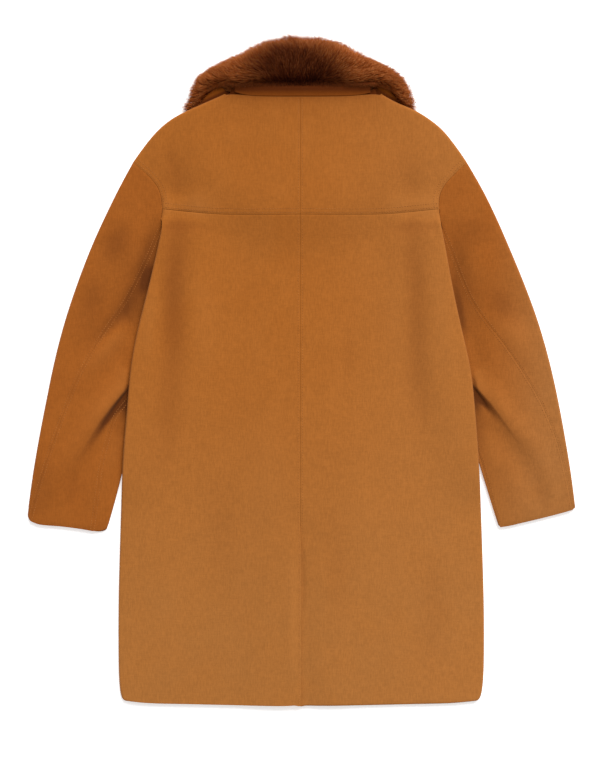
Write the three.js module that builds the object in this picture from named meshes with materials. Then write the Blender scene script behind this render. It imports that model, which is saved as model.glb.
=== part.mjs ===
import * as THREE from "three";

// Suede coat with a fur collar, lying face down on a floor, in millimetres with +Z up.
// Its two-piece sleeves are laid down along its sides, their inner folds under the body.
// Places on the coat are given from the middle of the back neck seam: x is out from the
// centre back, negative on the wearer's left, and down is along the back towards the hem.
// Every surface is worked out there, and the whole group is then moved to its own origin,
// which is on the floor at the middle of the laid-out coat.

// Driving dimensions
const cloth = 2.4; // thickness of the bonded suede
const seamGap = 0.3; // between two pieces at a seam
const half = seamGap / 2;
const bodyHeight = 9.2; // back and front lying on each other, outside to outside
const closure = { height: 3.2, from: 45, over: 60 }; // more of it down the middle, over the lap
const pressedSleeve = 6.2; // height of a sleeve where the body lies on it
const sleeveClear = 1; // between that and the cloth above it
const press = { from: 12, over: 30 }; // outside the body's edge, where a sleeve fills out
const tuck = { start: 182, rise: 24, end: 606, fall: 60, margin: 16, slope: 50 }; // sleeves under the body
const sleeveHead = { share: 0.16, from: 178, over: 32 }; // where a sleeve lies level with the body
const cuffFold = { from: 0.86, over: 0.14, more: 0.6 }; // the inner fold opens towards the cuff
const cuffFlat = { from: 0.07, to: 0.93, middle: 0.4 }; // shares of the cuff between its folds
const neckHeight = 12.5; // how far the collar holds the neck off the floor
const neckReach = { across: 165, along: 145, middle: 20, fade: 0.7 };
const lap = { width: 29.4, gap: 1.8, clear: 16.6, slope: 13 }; // each front past the centre front
const vent = { top: 700, width: 36, over: 1.6, left: 20, right: 26 }; // and where its two edges start
const dip = { depth: 2.9, from: 36, over: 19, above: 30 }; // the right back under the left at the vent
const yokeDown = 188; // yoke seam at the centre back
const hem = { back: 973.2, front: 970, end: 281, raised: 2 }; // raised: hidden layers above the hem
const sideFold = { from: 188, over: 24 }; // where the armhole seam turns into a fold at the side
const armholeGap = { across: 0.18, along: 0.05, sleeve: 0.5 }; // on each side of its seam
const neckDown = 439.2; // back neck seam to the middle of the whole length
const middleShift = -1.9; // the right sleeve reaches a little further than the left

const suede = new THREE.MeshStandardMaterial({ color: 0xaa672a, roughness: 0.92, metalness: 0 });
const collarSuede = new THREE.MeshStandardMaterial({ color: 0x9a5a24, roughness: 0.92, metalness: 0 });
const fur = new THREE.MeshStandardMaterial({ color: 0x5c2a10, roughness: 0.8, metalness: 0 });

// Outlines of the laid-out coat, as distances out from the centre back on each side
const shoulderRows = [
  { down: 103, left: 268, right: 266.8 },
  { down: 84, left: 254.6, right: 254 },
  { down: 68, left: 242, right: 241.4 },
  { down: 52, left: 227.6, right: 228.2 },
  { down: 36, left: 208, right: 207.8 },
  { down: 22, left: 181, right: 185 },
  { down: 8, left: 149, right: 151 },
  { down: -5, left: 120, right: 129 },
];
const neckRows = [
  { down: -9.5, left: 110, right: 122 },
  { down: -4.5, left: 98, right: 108 },
  { down: -1.2, left: 80, right: 84 },
  { down: 0, left: 42, right: 42 },
  { down: 0, left: 0, right: 0 },
];
const armholeRows = [
  { down: 103, left: 268, right: 266.8 },
  { down: 116, left: 253, right: 253.5 },
  { down: 130, left: 237.5, right: 238.5 },
  { down: 145, left: 226.2, right: 227 },
  { down: 160, left: 222, right: 221.4 },
  { down: 186, left: 221.2, right: 223.2 },
  { down: 212, left: 222.4, right: 227 },
];
const sideRows = [
  { down: 212, left: 222.4, right: 227 },
  { down: 244, left: 229.3, right: 233.2 },
  { down: 292, left: 240.5, right: 241.8 },
  { down: 356, left: 256.5, right: 254.6 },
  { down: 404, left: 269.6, right: 267 },
  { down: 436, left: 273.2, right: 274.2 },
  { down: 484, left: 275.8, right: 278.6 },
  { down: 548, left: 282.4, right: 283.6 },
  { down: 633, left: 286.4, right: 288.6 },
  { down: 724, left: 289.4, right: 292 },
  { down: 815, left: 291.6, right: 294.6 },
  { down: 898, left: 291.4, right: 294.6 },
  { down: 948, left: 290.6, right: 293.4 },
  { down: 959, left: 288.4, right: 290.8 },
  { down: 965, left: 283, right: 285 },
];
const hemRows = [
  { down: 965, left: 283, right: 285 },
  { down: 968.4, left: 262, right: 266 },
  { down: 971, left: 170, right: 180 },
  { down: 973, left: 80, right: 90 },
  { down: 973.6, left: 30, right: 30 },
  { down: 973.2, left: 0, right: 0 },
];
const yokeRows = [
  { down: 178.4, left: 221.2, right: 222.6 },
  { down: 182, left: 186, right: 186 },
  { down: 186, left: 148, right: 148 },
  { down: 188.2, left: 90, right: 90 },
  { down: 188, left: 0, right: 0 },
];
const sleeveOuterRows = [
  { down: 103, left: 268, right: 266.8 },
  { down: 132, left: 284.6, right: 284.6 },
  { down: 180, left: 308.6, right: 309.4 },
  { down: 228, left: 331, right: 330.6 },
  { down: 292, left: 356, right: 357.4 },
  { down: 356, left: 377.4, right: 381 },
  { down: 420, left: 394.2, right: 399.4 },
  { down: 484, left: 407.4, right: 413.8 },
  { down: 548, left: 419.8, right: 425.6 },
  { down: 612, left: 430.6, right: 436 },
  { down: 656, left: 436.2, right: 441.2 },
];
const sleeveInnerRows = [
  { down: 224, left: 184, right: 188 },
  { down: 243, left: 188, right: 192 },
  { down: 266, left: 192, right: 196 },
  { down: 300, left: 198, right: 202 },
  { down: 340, left: 204, right: 208 },
  { down: 400, left: 217, right: 221 },
  { down: 450, left: 231, right: 236 },
  { down: 500, left: 248, right: 255 },
  { down: 550, left: 267, right: 274 },
  { down: 593, left: 283.4, right: 288.6 },
  { down: 620, left: 289.8, right: 296.6 },
  { down: 650, left: 297.4, right: 306 },
  { down: 682, left: 306.6, right: 316 },
];
const cuffRows = {
  left: [
    [436.2, 656],
    [436.6, 669],
    [432.6, 678],
    [424, 682.6],
    [381, 686.8],
    [345, 691.6],
    [316, 696.4],
    [309.6, 693.4],
    [306.6, 682],
  ],
  right: [
    [441.2, 646],
    [440.6, 655],
    [436, 660],
    [428, 662.6],
    [380, 675],
    [350, 682],
    [323, 688],
    [317.6, 686.4],
    [313, 673],
  ],
};
// Where the two seams of each sleeve cross it, as shares of its width from the outer fold
const backSeamRows = [
  { along: 0, left: 0.73, right: 0.725 },
  { along: 0.08, left: 0.645, right: 0.645 },
  { along: 0.19, left: 0.56, right: 0.57 },
  { along: 0.31, left: 0.47, right: 0.51 },
  { along: 0.37, left: 0.41, right: 0.45 },
  { along: 0.43, left: 0.35, right: 0.39 },
  { along: 0.48, left: 0.31, right: 0.335 },
  { along: 0.58, left: 0.24, right: 0.25 },
  { along: 0.68, left: 0.2, right: 0.16 },
  { along: 0.8, left: 0.155, right: 0.08 },
  { along: 1, left: 0.08, right: 0.04 },
];
const frontSeamRows = [
  { along: 0, left: 0.95, right: 0.95 },
  { along: 0.37, left: 0.95, right: 0.95 },
  { along: 0.53, left: 0.86, right: 0.95 },
  { along: 0.63, left: 0.74, right: 0.95 },
  { along: 0.74, left: 0.75, right: 0.95 },
  { along: 0.86, left: 0.78, right: 0.95 },
  { along: 1, left: 0.815, right: 0.95 },
];
// How full a sleeve lies, outside to outside, from the shoulder to the cuff
const fullnessRows = [
  { along: 0, height: bodyHeight },
  { along: 0.16, height: 10.8 },
  { along: 0.5, height: 12 },
  { along: 0.8, height: 10.4 },
  { along: 1, height: 7.8 },
];
// The neckline of the fronts, hidden under the back, from the shoulder to the centre front
const necklineRows = [
  { down: 4, out: 113 },
  { down: 24, out: 115 },
  { down: 48, out: 113 },
  { down: 70, out: 104 },
  { down: 87, out: 88 },
  { down: 98, out: 62 },
  { down: 103, out: 26 },
];
// Stations of the fur collar from the centre back round to the front: the outer limit of the
// fur, the edge where the undercollar starts, the inner edge and the height of the fur
const collarRows = [
  { outer: [0, -95.2], edge: [0, -17], inner: [0, -17], height: 42 },
  { outer: [30, -93.6], edge: [28, -17.4], inner: [28, -17.4], height: 42 },
  { outer: [54, -89.4], edge: [52, -18], inner: [52, -18], height: 41 },
  { outer: [76, -79], edge: [74, -18.4], inner: [74, -18.4], height: 39 },
  { outer: [94, -69], edge: [92, -18.6], inner: [90, -16], height: 37 },
  { outer: [118, -59.6], edge: [112, -19.6], inner: [101, -12], height: 34 },
  { outer: [143, -47.4], edge: [128, -18.4], inner: [108, 0], height: 30 },
  { outer: [160.6, -34.4], edge: [142, -12.6], inner: [111, 12], height: 26 },
  { outer: [169.6, -16], edge: [152, -2], inner: [113, 24], height: 22 },
  { outer: [176.4, 1], edge: [160, 8.4], inner: [115, 38], height: 16 },
  { outer: [182.4, 17], edge: [167, 21], inner: [114, 50], height: 9 },
  { outer: [184, 45], edge: [170, 44], inner: [110, 64], height: 9 },
  { outer: [173, 78], edge: [160, 73], inner: [99, 80], height: 9 },
  { outer: [148, 108], edge: [138, 98], inner: [82, 92], height: 9 },
  { outer: [110, 132], edge: [102, 120], inner: [58, 99], height: 9 },
  { outer: [64, 146], edge: [58, 133], inner: [38, 103], height: 9 },
  { outer: [26, 148], edge: [26, 136], inner: [24, 105], height: 9 },
];
const undercollarFrom = 6; // the first station with an undercollar on the fur
const hiddenFrom = 10; // the first station that lies under the body
const undercollarClear = { below: 0.8, outer: 1, inner: 0.5 }; // under the fronts, and at its edges
const stand = { left: 105, right: 112, rise: 5, least: 2.4, slope: 6 }; // suede between neck and fur
// The fur: the height of its outer rim, how far its foot is tucked in on both sides, its height
// above the edge and the inner edge as shares of the whole, and how full its round top is
const furShape = {
  rim: 5,
  foot: 7,
  innerFoot: 2,
  shoulder: 0.62,
  step: 0.4,
  end: 0.1,
  square: 3,
  full: 0.7,
};

// Folds of the cloth, each a soft ridge or trough along a path of [x, down]
const bodyFolds = [
  { along: [[-202, 52], [-184, 120], [-180, 190]], lift: -1.1, width: 20 },
  { along: [[-182, 240], [-192, 292], [-186, 420], [-196, 480]], lift: -2.1, width: 20 },
  { along: [[-206, 540], [-216, 660]], lift: -1.2, width: 22 },
  { along: [[158, 60], [174, 190]], lift: -1.1, width: 22 },
  { along: [[176, 240], [183, 340], [187, 520]], lift: -2.2, width: 22 },
  { along: [[196, 590], [206, 690]], lift: -1.1, width: 22 },
  { along: [[-232, 60], [-206, 130]], lift: 1.4, width: 16 },
  { along: [[228, 66], [204, 130]], lift: 1.4, width: 16 },
  { along: [[70, 350], [78, 470]], lift: -0.8, width: 14 },
  { along: [[-60, 520], [-48, 640]], lift: 0.9, width: 34 },
  { along: [[100, 560], [112, 700]], lift: 0.9, width: 30 },
  { along: [[-140, 760], [-150, 900]], lift: 1, width: 36 },
  { along: [[160, 780], [176, 900]], lift: 1, width: 34 },
  { along: [[-24, 720], [-40, 960]], lift: 1.1, width: 20 },
  { along: [[40, 730], [50, 960]], lift: 1, width: 20 },
];
const sleeveFolds = [
  { along: [[-262, 296], [-300, 340], [-350, 412]], lift: -3.2, width: 15 },
  { along: [[-276, 336], [-326, 398], [-352, 450]], lift: 2.4, width: 17 },
  { along: [[-290, 190], [-318, 232]], lift: -1.6, width: 15 },
  { along: [[-276, 232], [-330, 300]], lift: 1.6, width: 17 },
  { along: [[-284, 455], [-306, 486], [-332, 520], [-362, 566], [-400, 620]], lift: 5.4, width: 13 },
  { along: [[-277, 486], [-292, 518], [-318, 548], [-344, 588], [-368, 628]], lift: -4.2, width: 12 },
  { along: [[-314, 590], [-330, 640]], lift: 1.6, width: 14 },
  { along: [[250, 262], [262, 340]], lift: -1.6, width: 12 },
  { along: [[336, 296], [352, 338]], lift: -2.4, width: 15 },
  { along: [[300, 330], [372, 420]], lift: 1.4, width: 18 },
  { along: [[284, 456], [304, 480], [330, 512], [360, 546], [388, 580]], lift: 5.2, width: 13 },
  { along: [[283, 490], [300, 512], [318, 540], [344, 572], [372, 606]], lift: -4.2, width: 12 },
  { along: [[330, 600], [344, 650]], lift: 1.5, width: 15 },
];

const mix = THREE.MathUtils.lerp;
const point = (x, down) => new THREE.Vector2(x, down);

function smooth(share) {
  return THREE.MathUtils.smoothstep(share, 0, 1);
}

// A value from a table at a place between two of its rows
function read(rows, key, at, column) {
  const after = Math.max(1, rows.findIndex((row, i) => i > 0 && row[key] >= at));
  const last = rows[after] ?? rows[rows.length - 1];
  const first = rows[(rows[after] ? after : rows.length - 1) - 1];
  const share = THREE.MathUtils.clamp((at - first[key]) / (last[key] - first[key]), 0, 1);
  return mix(first[column], last[column], share);
}

// A smooth curve in plan through [x, down] pairs
function planCurve(pairs) {
  const curve = new THREE.CatmullRomCurve3(
    pairs.map(([x, down]) => new THREE.Vector3(x, down, 0)),
    false,
    "centripetal",
  );
  curve.arcLengthDivisions = 600;
  return curve;
}

function sideCurve(rows, side) {
  const sign = side === "left" ? -1 : 1;
  return planCurve(rows.map((row) => [sign * (row[side] ?? row.out), row.down]));
}

function at(curve, share) {
  const place = curve.getPointAt(THREE.MathUtils.clamp(share, 0, 1));
  return point(place.x, place.y);
}

function directionAt(curve, share) {
  const slope = curve.getTangentAt(THREE.MathUtils.clamp(share, 0, 1));
  return point(slope.x, slope.y);
}

// One curve after another, each over its own share of the whole
function joined(curves, shares) {
  return (share) => {
    const index = Math.max(0, shares.findIndex((end) => share <= end));
    const from = index === 0 ? 0 : shares[index - 1];
    return at(curves[index], (share - from) / (shares[index] - from));
  };
}

// Reads one coordinate of a curve at a value of the other one, as how far out it lies at a
// place down the coat. Both are distances from the centre back and the neck seam.
function reader(curves, key, wanted) {
  const size = (place, axis) => (axis === "x" ? Math.abs(place.x) : place.y);
  const places = curves.flatMap((curve) => curve.getSpacedPoints(240));
  places.sort((a, b) => size(a, key) - size(b, key));
  return (value) => {
    let low = 0;
    let high = places.length - 1;
    while (high - low > 1) {
      const middle = (low + high) >> 1;
      if (size(places[middle], key) < value) low = middle;
      else high = middle;
    }
    const span = Math.max(size(places[high], key) - size(places[low], key), 1e-6);
    const share = THREE.MathUtils.clamp((value - size(places[low], key)) / span, 0, 1);
    return mix(size(places[low], wanted), size(places[high], wanted), share);
  };
}

function outlinesOf(side) {
  const shoulder = sideCurve(shoulderRows, side);
  const neck = sideCurve(neckRows, side);
  const armhole = sideCurve(armholeRows, side);
  const body = sideCurve(sideRows, side);
  const inner = sideCurve(sleeveInnerRows, side);
  const sign = side === "left" ? -1 : 1;
  return {
    sign,
    shoulder,
    neck,
    armhole,
    body,
    inner,
    hemline: sideCurve(hemRows, side),
    yoke: sideCurve(yokeRows, side),
    outer: sideCurve(sleeveOuterRows, side),
    underarm: sideCurve([armholeRows[armholeRows.length - 1], sleeveInnerRows[0]], side),
    cuff: planCurve(cuffRows[side].map(([out, down]) => [sign * out, down])),
    neckline: sideCurve(necklineRows, side),
    edgeOut: reader([armhole, body], "y", "x"),
    innerOut: reader([inner], "y", "x"),
    neckAt: reader([neck], "x", "y"),
    hemAt: reader([sideCurve(hemRows, side)], "x", "y"),
    yokeAt: reader([sideCurve(yokeRows, side)], "x", "y"),
  };
}

const outlines = { left: outlinesOf("left"), right: outlinesOf("right") };
const sideOf = (x) => (x < 0 ? outlines.left : outlines.right);

function distanceToPath(x, down, path) {
  let nearest = Infinity;
  for (let i = 1; i < path.length; i += 1) {
    const [ax, ay] = path[i - 1];
    const [bx, by] = path[i];
    const square = (bx - ax) ** 2 + (by - ay) ** 2;
    const along = ((x - ax) * (bx - ax) + (down - ay) * (by - ay)) / square;
    const share = THREE.MathUtils.clamp(along, 0, 1);
    nearest = Math.min(nearest, Math.hypot(x - mix(ax, bx, share), down - mix(ay, by, share)));
  }
  return nearest;
}

function foldsAt(folds, x, down) {
  return folds.reduce((sum, fold) => {
    const far = distanceToPath(x, down, fold.along) / fold.width;
    return sum + fold.lift * Math.exp(-(far ** 2));
  }, 0);
}

// How high the collar holds the cloth round the neck off the floor
function neckLift(x, down) {
  const reach = Math.hypot(x / neckReach.across, (down - neckReach.middle) / neckReach.along);
  return neckHeight * (1 - smooth((reach - 1) / neckReach.fade));
}

// How high the tucked-in sleeves hold the sides of the body off the floor
function sleeveLift(x, down) {
  const inwards = sideOf(x).innerOut(down) - tuck.margin - Math.abs(x);
  const started = smooth((down - tuck.start) / tuck.rise);
  const ended = smooth((down - tuck.end) / tuck.fall);
  return (pressedSleeve + sleeveClear) * started * (1 - ended) * (1 - smooth(inwards / tuck.slope));
}

// The outer surface of the fronts, which is the underside of the laid-out body
function underside(x, down) {
  return neckLift(x, down) + sleeveLift(x, down);
}

function bodyThickness(x) {
  return bodyHeight + closure.height * (1 - smooth((Math.abs(x) - closure.from) / closure.over));
}

// The outer surface of the back and the yokes
function backTop(x, down) {
  return underside(x, down) + bodyThickness(x) + foldsAt(bodyFolds, x, down);
}

// The right back dips under the left one at the vent
function rightBackTop(x, down) {
  const across = smooth((dip.from - x) / dip.over);
  return backTop(x, down) - dip.depth * across * smooth((down - vent.top + dip.above) / dip.above);
}

// The left front lies on the right one where they lap
function leftFrontUnder(x, down) {
  return underside(x, down) + (cloth + lap.gap) * smooth((x + lap.width + lap.clear) / lap.slope);
}

// The outer surface of a sleeve, level with the body at the armhole and pressed under its edge
function sleeveTop(side, share, x, down) {
  const { edgeOut, sign } = outlines[side];
  const beyond = sign * x - edgeOut(down);
  const full = read(fullnessRows, "along", share, "height") + foldsAt(sleeveFolds, x, down);
  const lying = mix(pressedSleeve, full, smooth((beyond - press.from) / press.over));
  const nearHead = 1 - smooth(share / sleeveHead.share);
  const level = nearHead * (1 - smooth((down - sleeveHead.from) / sleeveHead.over));
  return mix(Math.max(lying, pressedSleeve), neckLift(x, down) + bodyHeight, level);
}

// A point of the wall on a surface that faces up or down, with the cloth behind it
function wallPoint(surface, place, facing) {
  const step = 0.5;
  const height = surface(place.x, place.y);
  const slopeX = (surface(place.x + step, place.y) - surface(place.x - step, place.y)) / (2 * step);
  const slopeY = (surface(place.x, place.y + step) - surface(place.x, place.y - step)) / (2 * step);
  const normal = new THREE.Vector3(-slopeX, -slopeY, 1).normalize().multiplyScalar(facing);
  const outer = new THREE.Vector3(place.x, place.y, height);
  return { outer, inner: outer.clone().addScaledVector(normal, -cloth) };
}

// A point of the wall on a round fold, at an angle from its outermost line towards its top
function foldPoint(place, inward, reach, halfHeight, middle, angle) {
  const around = (behind) =>
    new THREE.Vector3(
      place.x + inward.x * (reach - (reach - behind) * Math.cos(angle)),
      place.y + inward.y * (reach - (reach - behind) * Math.cos(angle)),
      middle + (halfHeight - behind) * Math.sin(angle),
    );
  return { outer: around(0), inner: around(cloth) };
}

function blend(first, second, share) {
  return {
    outer: first.outer.clone().lerp(second.outer, share),
    inner: first.inner.clone().lerp(second.inner, share),
  };
}

// The direction into a piece from its edge, square to it but along the seams at its two ends
function inwardAt(edge, share, opposite, startDirection, endDirection) {
  const step = 0.002;
  const ease = 0.07;
  const here = edge(share);
  const along = edge(Math.min(share + step, 1)).sub(edge(Math.max(share - step, 0)));
  const square = point(-along.y, along.x).normalize();
  if (square.dot(opposite(share).sub(here)) < 0) square.negate();
  const atStart = startDirection ? 1 - smooth(share / ease) : 0;
  const atEnd = endDirection ? 1 - smooth((1 - share) / ease) : 0;
  square.multiplyScalar(1 - Math.max(atStart, atEnd));
  if (startDirection) square.addScaledVector(startDirection, atStart);
  if (endDirection) square.addScaledVector(endDirection, atEnd);
  return square.normalize();
}

// A plan point inside four edges: near and far run along the piece, start and end across it
function patchPoint(near, far, start, end, share, across) {
  const straight = (s) => near(s).lerp(far(s), across);
  const place = straight(share);
  place.addScaledVector(start(across).sub(straight(0)), 1 - share);
  place.addScaledVector(end(across).sub(straight(1)), share);
  return place;
}

const shares = (count) => Array.from({ length: count + 1 }, (_, i) => i / count);
const rollAngles = [58, 28, 0].map(THREE.MathUtils.degToRad);

// One layer of the body: a sheet that turns over in a round fold along its outline
function bodyPanel({ near, outline, start, end, along, across, surface, facing, rolled, startTo, endTo }) {
  const reach = bodyHeight / 2;
  const inward = (share) => inwardAt(outline, share, near, startTo, endTo);
  const rim = (share) => outline(share).addScaledVector(inward(share), reach);
  const flatPlace = (share, step) => patchPoint(near, rim, start, end, share, step);
  return along.map((share) => {
    const row = across.map((step) => wallPoint(surface, flatPlace(share, step), facing));
    const crown = rim(share);
    const top = backTop(crown.x, crown.y);
    const bottom = underside(crown.x, crown.y);
    const halfHeight = (top - bottom) / 2;
    const edge = outline(share);
    const turn = rolled(edge.y, share);
    rollAngles.forEach((angle) => {
      const depth = Math.max(reach * (1 - Math.cos(angle)), half);
      const flat = wallPoint(surface, edge.clone().addScaledVector(inward(share), depth), facing);
      const lifted = Math.max(angle, Math.asin(half / halfHeight));
      const round = foldPoint(edge, inward(share), reach, halfHeight, (top + bottom) / 2, facing * lifted);
      row.push(blend(flat, round, turn));
    });
    return row;
  });
}

// One closed mesh from a grid of wall points: its outer sheet, its inner sheet and its four edges
function wallMesh(name, grid, material) {
  const rows = grid.length;
  const columns = grid[0].length;
  const positions = [];
  grid.forEach((row) => row.forEach(({ outer, inner }) => positions.push(outer, inner)));
  const index = (i, j, layer) => 2 * (i * columns + j) + layer;
  const faces = [];
  const quad = (a, b, c, d) => faces.push([a, b, c], [a, c, d]);
  for (let i = 0; i < rows - 1; i += 1) {
    for (let j = 0; j < columns - 1; j += 1) {
      quad(index(i, j, 0), index(i + 1, j, 0), index(i + 1, j + 1, 0), index(i, j + 1, 0));
      quad(index(i, j, 1), index(i, j + 1, 1), index(i + 1, j + 1, 1), index(i + 1, j, 1));
    }
  }
  for (let i = 0; i < rows - 1; i += 1) {
    quad(index(i, 0, 0), index(i, 0, 1), index(i + 1, 0, 1), index(i + 1, 0, 0));
    const j = columns - 1;
    quad(index(i, j, 0), index(i + 1, j, 0), index(i + 1, j, 1), index(i, j, 1));
  }
  for (let j = 0; j < columns - 1; j += 1) {
    quad(index(0, j, 0), index(0, j + 1, 0), index(0, j + 1, 1), index(0, j, 1));
    const i = rows - 1;
    quad(index(i, j, 0), index(i, j, 1), index(i, j + 1, 1), index(i, j + 1, 0));
  }
  return solidMesh(name, positions, faces, material);
}

// Positions are x, down and z. The faces are turned round if they point inwards.
function solidMesh(name, positions, faces, material) {
  const placed = positions.map((p) => new THREE.Vector3(p.x, -p.y, p.z));
  const volume = faces.reduce(
    (sum, [a, b, c]) => sum + placed[a].dot(placed[b].clone().cross(placed[c])),
    0,
  );
  const turned = volume < 0 ? faces.map(([a, b, c]) => [a, c, b]) : faces;
  const geometry = new THREE.BufferGeometry().setFromPoints(placed);
  geometry.setIndex(turned.flat());
  geometry.computeVertexNormals();
  const mesh = new THREE.Mesh(geometry, material);
  mesh.name = name;
  return mesh;
}

// A wall turns into a round fold below the armhole and is a seam edge beside the sleeve
function sideTurn(down) {
  return smooth((down - sideFold.from) / sideFold.over);
}

// Stations along the side from the hem to the underarm, closer where its height changes,
// and those that only the back needs, at the top of its vent
const sideStations = [
  ...[0, 0.012, 0.12, 0.24, 0.352, 0.395, 0.42, 0.45, 0.48],
  ...[0.54, 0.62, 0.7, 0.78, 0.85, 0.9, 0.94, 0.97, 1],
];
const ventStations = [0.06, 0.18, 0.3, 0.317, 0.335, 0.373];
const shoulderStations = shares(10);

// Shares of a panel's outline at which one edge of the garment ends and the next begins
const yokeSplit = { shoulder: 0.62 };
const backSplit = { side: 0.94 };
const frontSplit = { side: 0.64, armhole: 0.76, centre: 0.78 };

function yokePanel(side) {
  const { sign, shoulder, neck, armhole, yoke } = outlines[side];
  const lower = (share) => at(yoke, share).add(point(0, -seamGap));
  const outline = joined([shoulder, neck], [yokeSplit.shoulder, 1]);
  const end = nearestShare(armhole, at(yoke, 0));
  const crown = bodyHeight / 2 / armhole.getLength();
  const start = (across) => {
    return at(armhole, mix(end, crown, across)).add(point(-sign * half, -seamGap * (1 - across)));
  };
  const centre = (across) => point(sign * half, mix(yokeDown - half, bodyHeight / 2, across));
  return bodyPanel({
    near: lower,
    outline,
    start,
    end: centre,
    along: [
      ...shoulderStations.map((s) => s * yokeSplit.shoulder),
      ...shares(6).slice(1).map((s) => mix(yokeSplit.shoulder, 1, s)),
    ],
    across: shares(7),
    surface: backTop,
    facing: 1,
    rolled: (down, share) => (share <= yokeSplit.shoulder ? 1 : 0),
    startTo: directionAt(armhole, 0),
    endTo: point(0, 1),
  });
}

function nearestShare(curve, place) {
  const steps = shares(400);
  const gaps = steps.map((share) => at(curve, share).distanceTo(place));
  return steps[gaps.indexOf(Math.min(...gaps))];
}

// Columns of the back from the centre out, closer where the right one dips under the vent
const backColumns = {
  left: [0, 0.06, 0.15, 0.25, 0.36, 0.47, 0.58, 0.69, 0.79, 0.89, 1],
  right: [0, 0.055, 0.1, 0.125, 0.145, 0.165, 0.25, 0.36, 0.47, 0.58, 0.69, 0.79, 0.89, 1],
};

function backPanel(side) {
  const { sign, armhole, body, hemline, yoke, hemAt, yokeAt, edgeOut } = outlines[side];
  const split = backSplit.side;
  const yokeEnd = at(yoke, 0);
  const seamOff = point(-sign * armholeGap.across, armholeGap.along);
  const yokeShare = nearestShare(armhole, yokeEnd);
  const armholeUp = (share) => at(armhole, mix(1, yokeShare, share)).add(seamOff);
  const outline = (share) => {
    return share < split ? at(body, 1 - share / split) : armholeUp((share - split) / (1 - split));
  };
  const centreX = (down) => {
    if (side === "left") return vent.over * smooth((down - vent.top) / vent.left) - half;
    return half - vent.width * smooth((down - vent.top) / vent.right);
  };
  const near = (share) => {
    const down = mix(hem.back, yokeDown + half, share);
    return point(centreX(down), down);
  };
  const lower = (across) => {
    const x = mix(centreX(hem.back), sign * hem.end, across);
    return point(x, hemAt(Math.max(sign * x, 0)) - (sign * x < 0 ? hem.raised : 0));
  };
  const upper = (across) => {
    const x = sign * mix(half, edgeOut(yokeEnd.y) - bodyHeight / 2, across);
    return point(x, yokeAt(Math.abs(x)) + half);
  };
  return bodyPanel({
    near,
    outline,
    start: lower,
    end: upper,
    along: [
      ...[...sideStations, ...ventStations].sort((a, b) => a - b).map((s) => s * split),
      ...shares(4).slice(1).map((s) => mix(split, 1, s)),
    ],
    across: side === "left" ? backColumns.left : backColumns.right,
    surface: side === "left" ? backTop : rightBackTop,
    facing: 1,
    rolled: (down) => sideTurn(down),
    startTo: directionAt(hemline, 0),
    endTo: directionAt(yoke, 0),
  });
}

function frontPanel(side) {
  const { sign, armhole, body, shoulder, hemline, hemAt, neckline } = outlines[side];
  const { side: sideEnd, armhole: armholeEnd, centre } = frontSplit;
  const seamOff = point(-sign * armholeGap.across, armholeGap.along);
  const outline = (share) => {
    if (share < sideEnd) return at(body, 1 - share / sideEnd);
    if (share >= armholeEnd) return at(shoulder, (share - armholeEnd) / (1 - armholeEnd));
    return at(armhole, 1 - (share - sideEnd) / (armholeEnd - sideEnd)).add(seamOff);
  };
  const frontEdge = -sign * lap.width;
  const near = (share) => {
    if (share > centre) return at(neckline, 1 - (share - centre) / (1 - centre));
    return point(frontEdge, mix(hem.front, at(neckline, 1).y, share / centre));
  };
  return bodyPanel({
    near,
    outline,
    start: (across) => {
      const x = mix(frontEdge, sign * hem.end, across);
      return point(x, hemAt(Math.max(sign * x, 0)) - hem.raised);
    },
    end: (across) => near(1).lerp(outline(1).add(point(0, bodyHeight / 2)), across),
    along: [
      ...sideStations.map((s) => s * sideEnd),
      ...shares(12).slice(1).map((s) => mix(sideEnd, armholeEnd, s)),
      ...shoulderStations.slice(1).map((s) => mix(armholeEnd, 1, s)),
    ],
    across: [0, 0.092, 0.19, 0.24, 0.42, 0.58, 0.68, 0.78, 0.9, 1],
    surface: side === "left" ? leftFrontUnder : underside,
    facing: -1,
    rolled: (down, share) => (share >= armholeEnd - 0.001 ? 1 : sideTurn(down)),
    startTo: directionAt(hemline, 0),
    endTo: null,
  });
}

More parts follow.
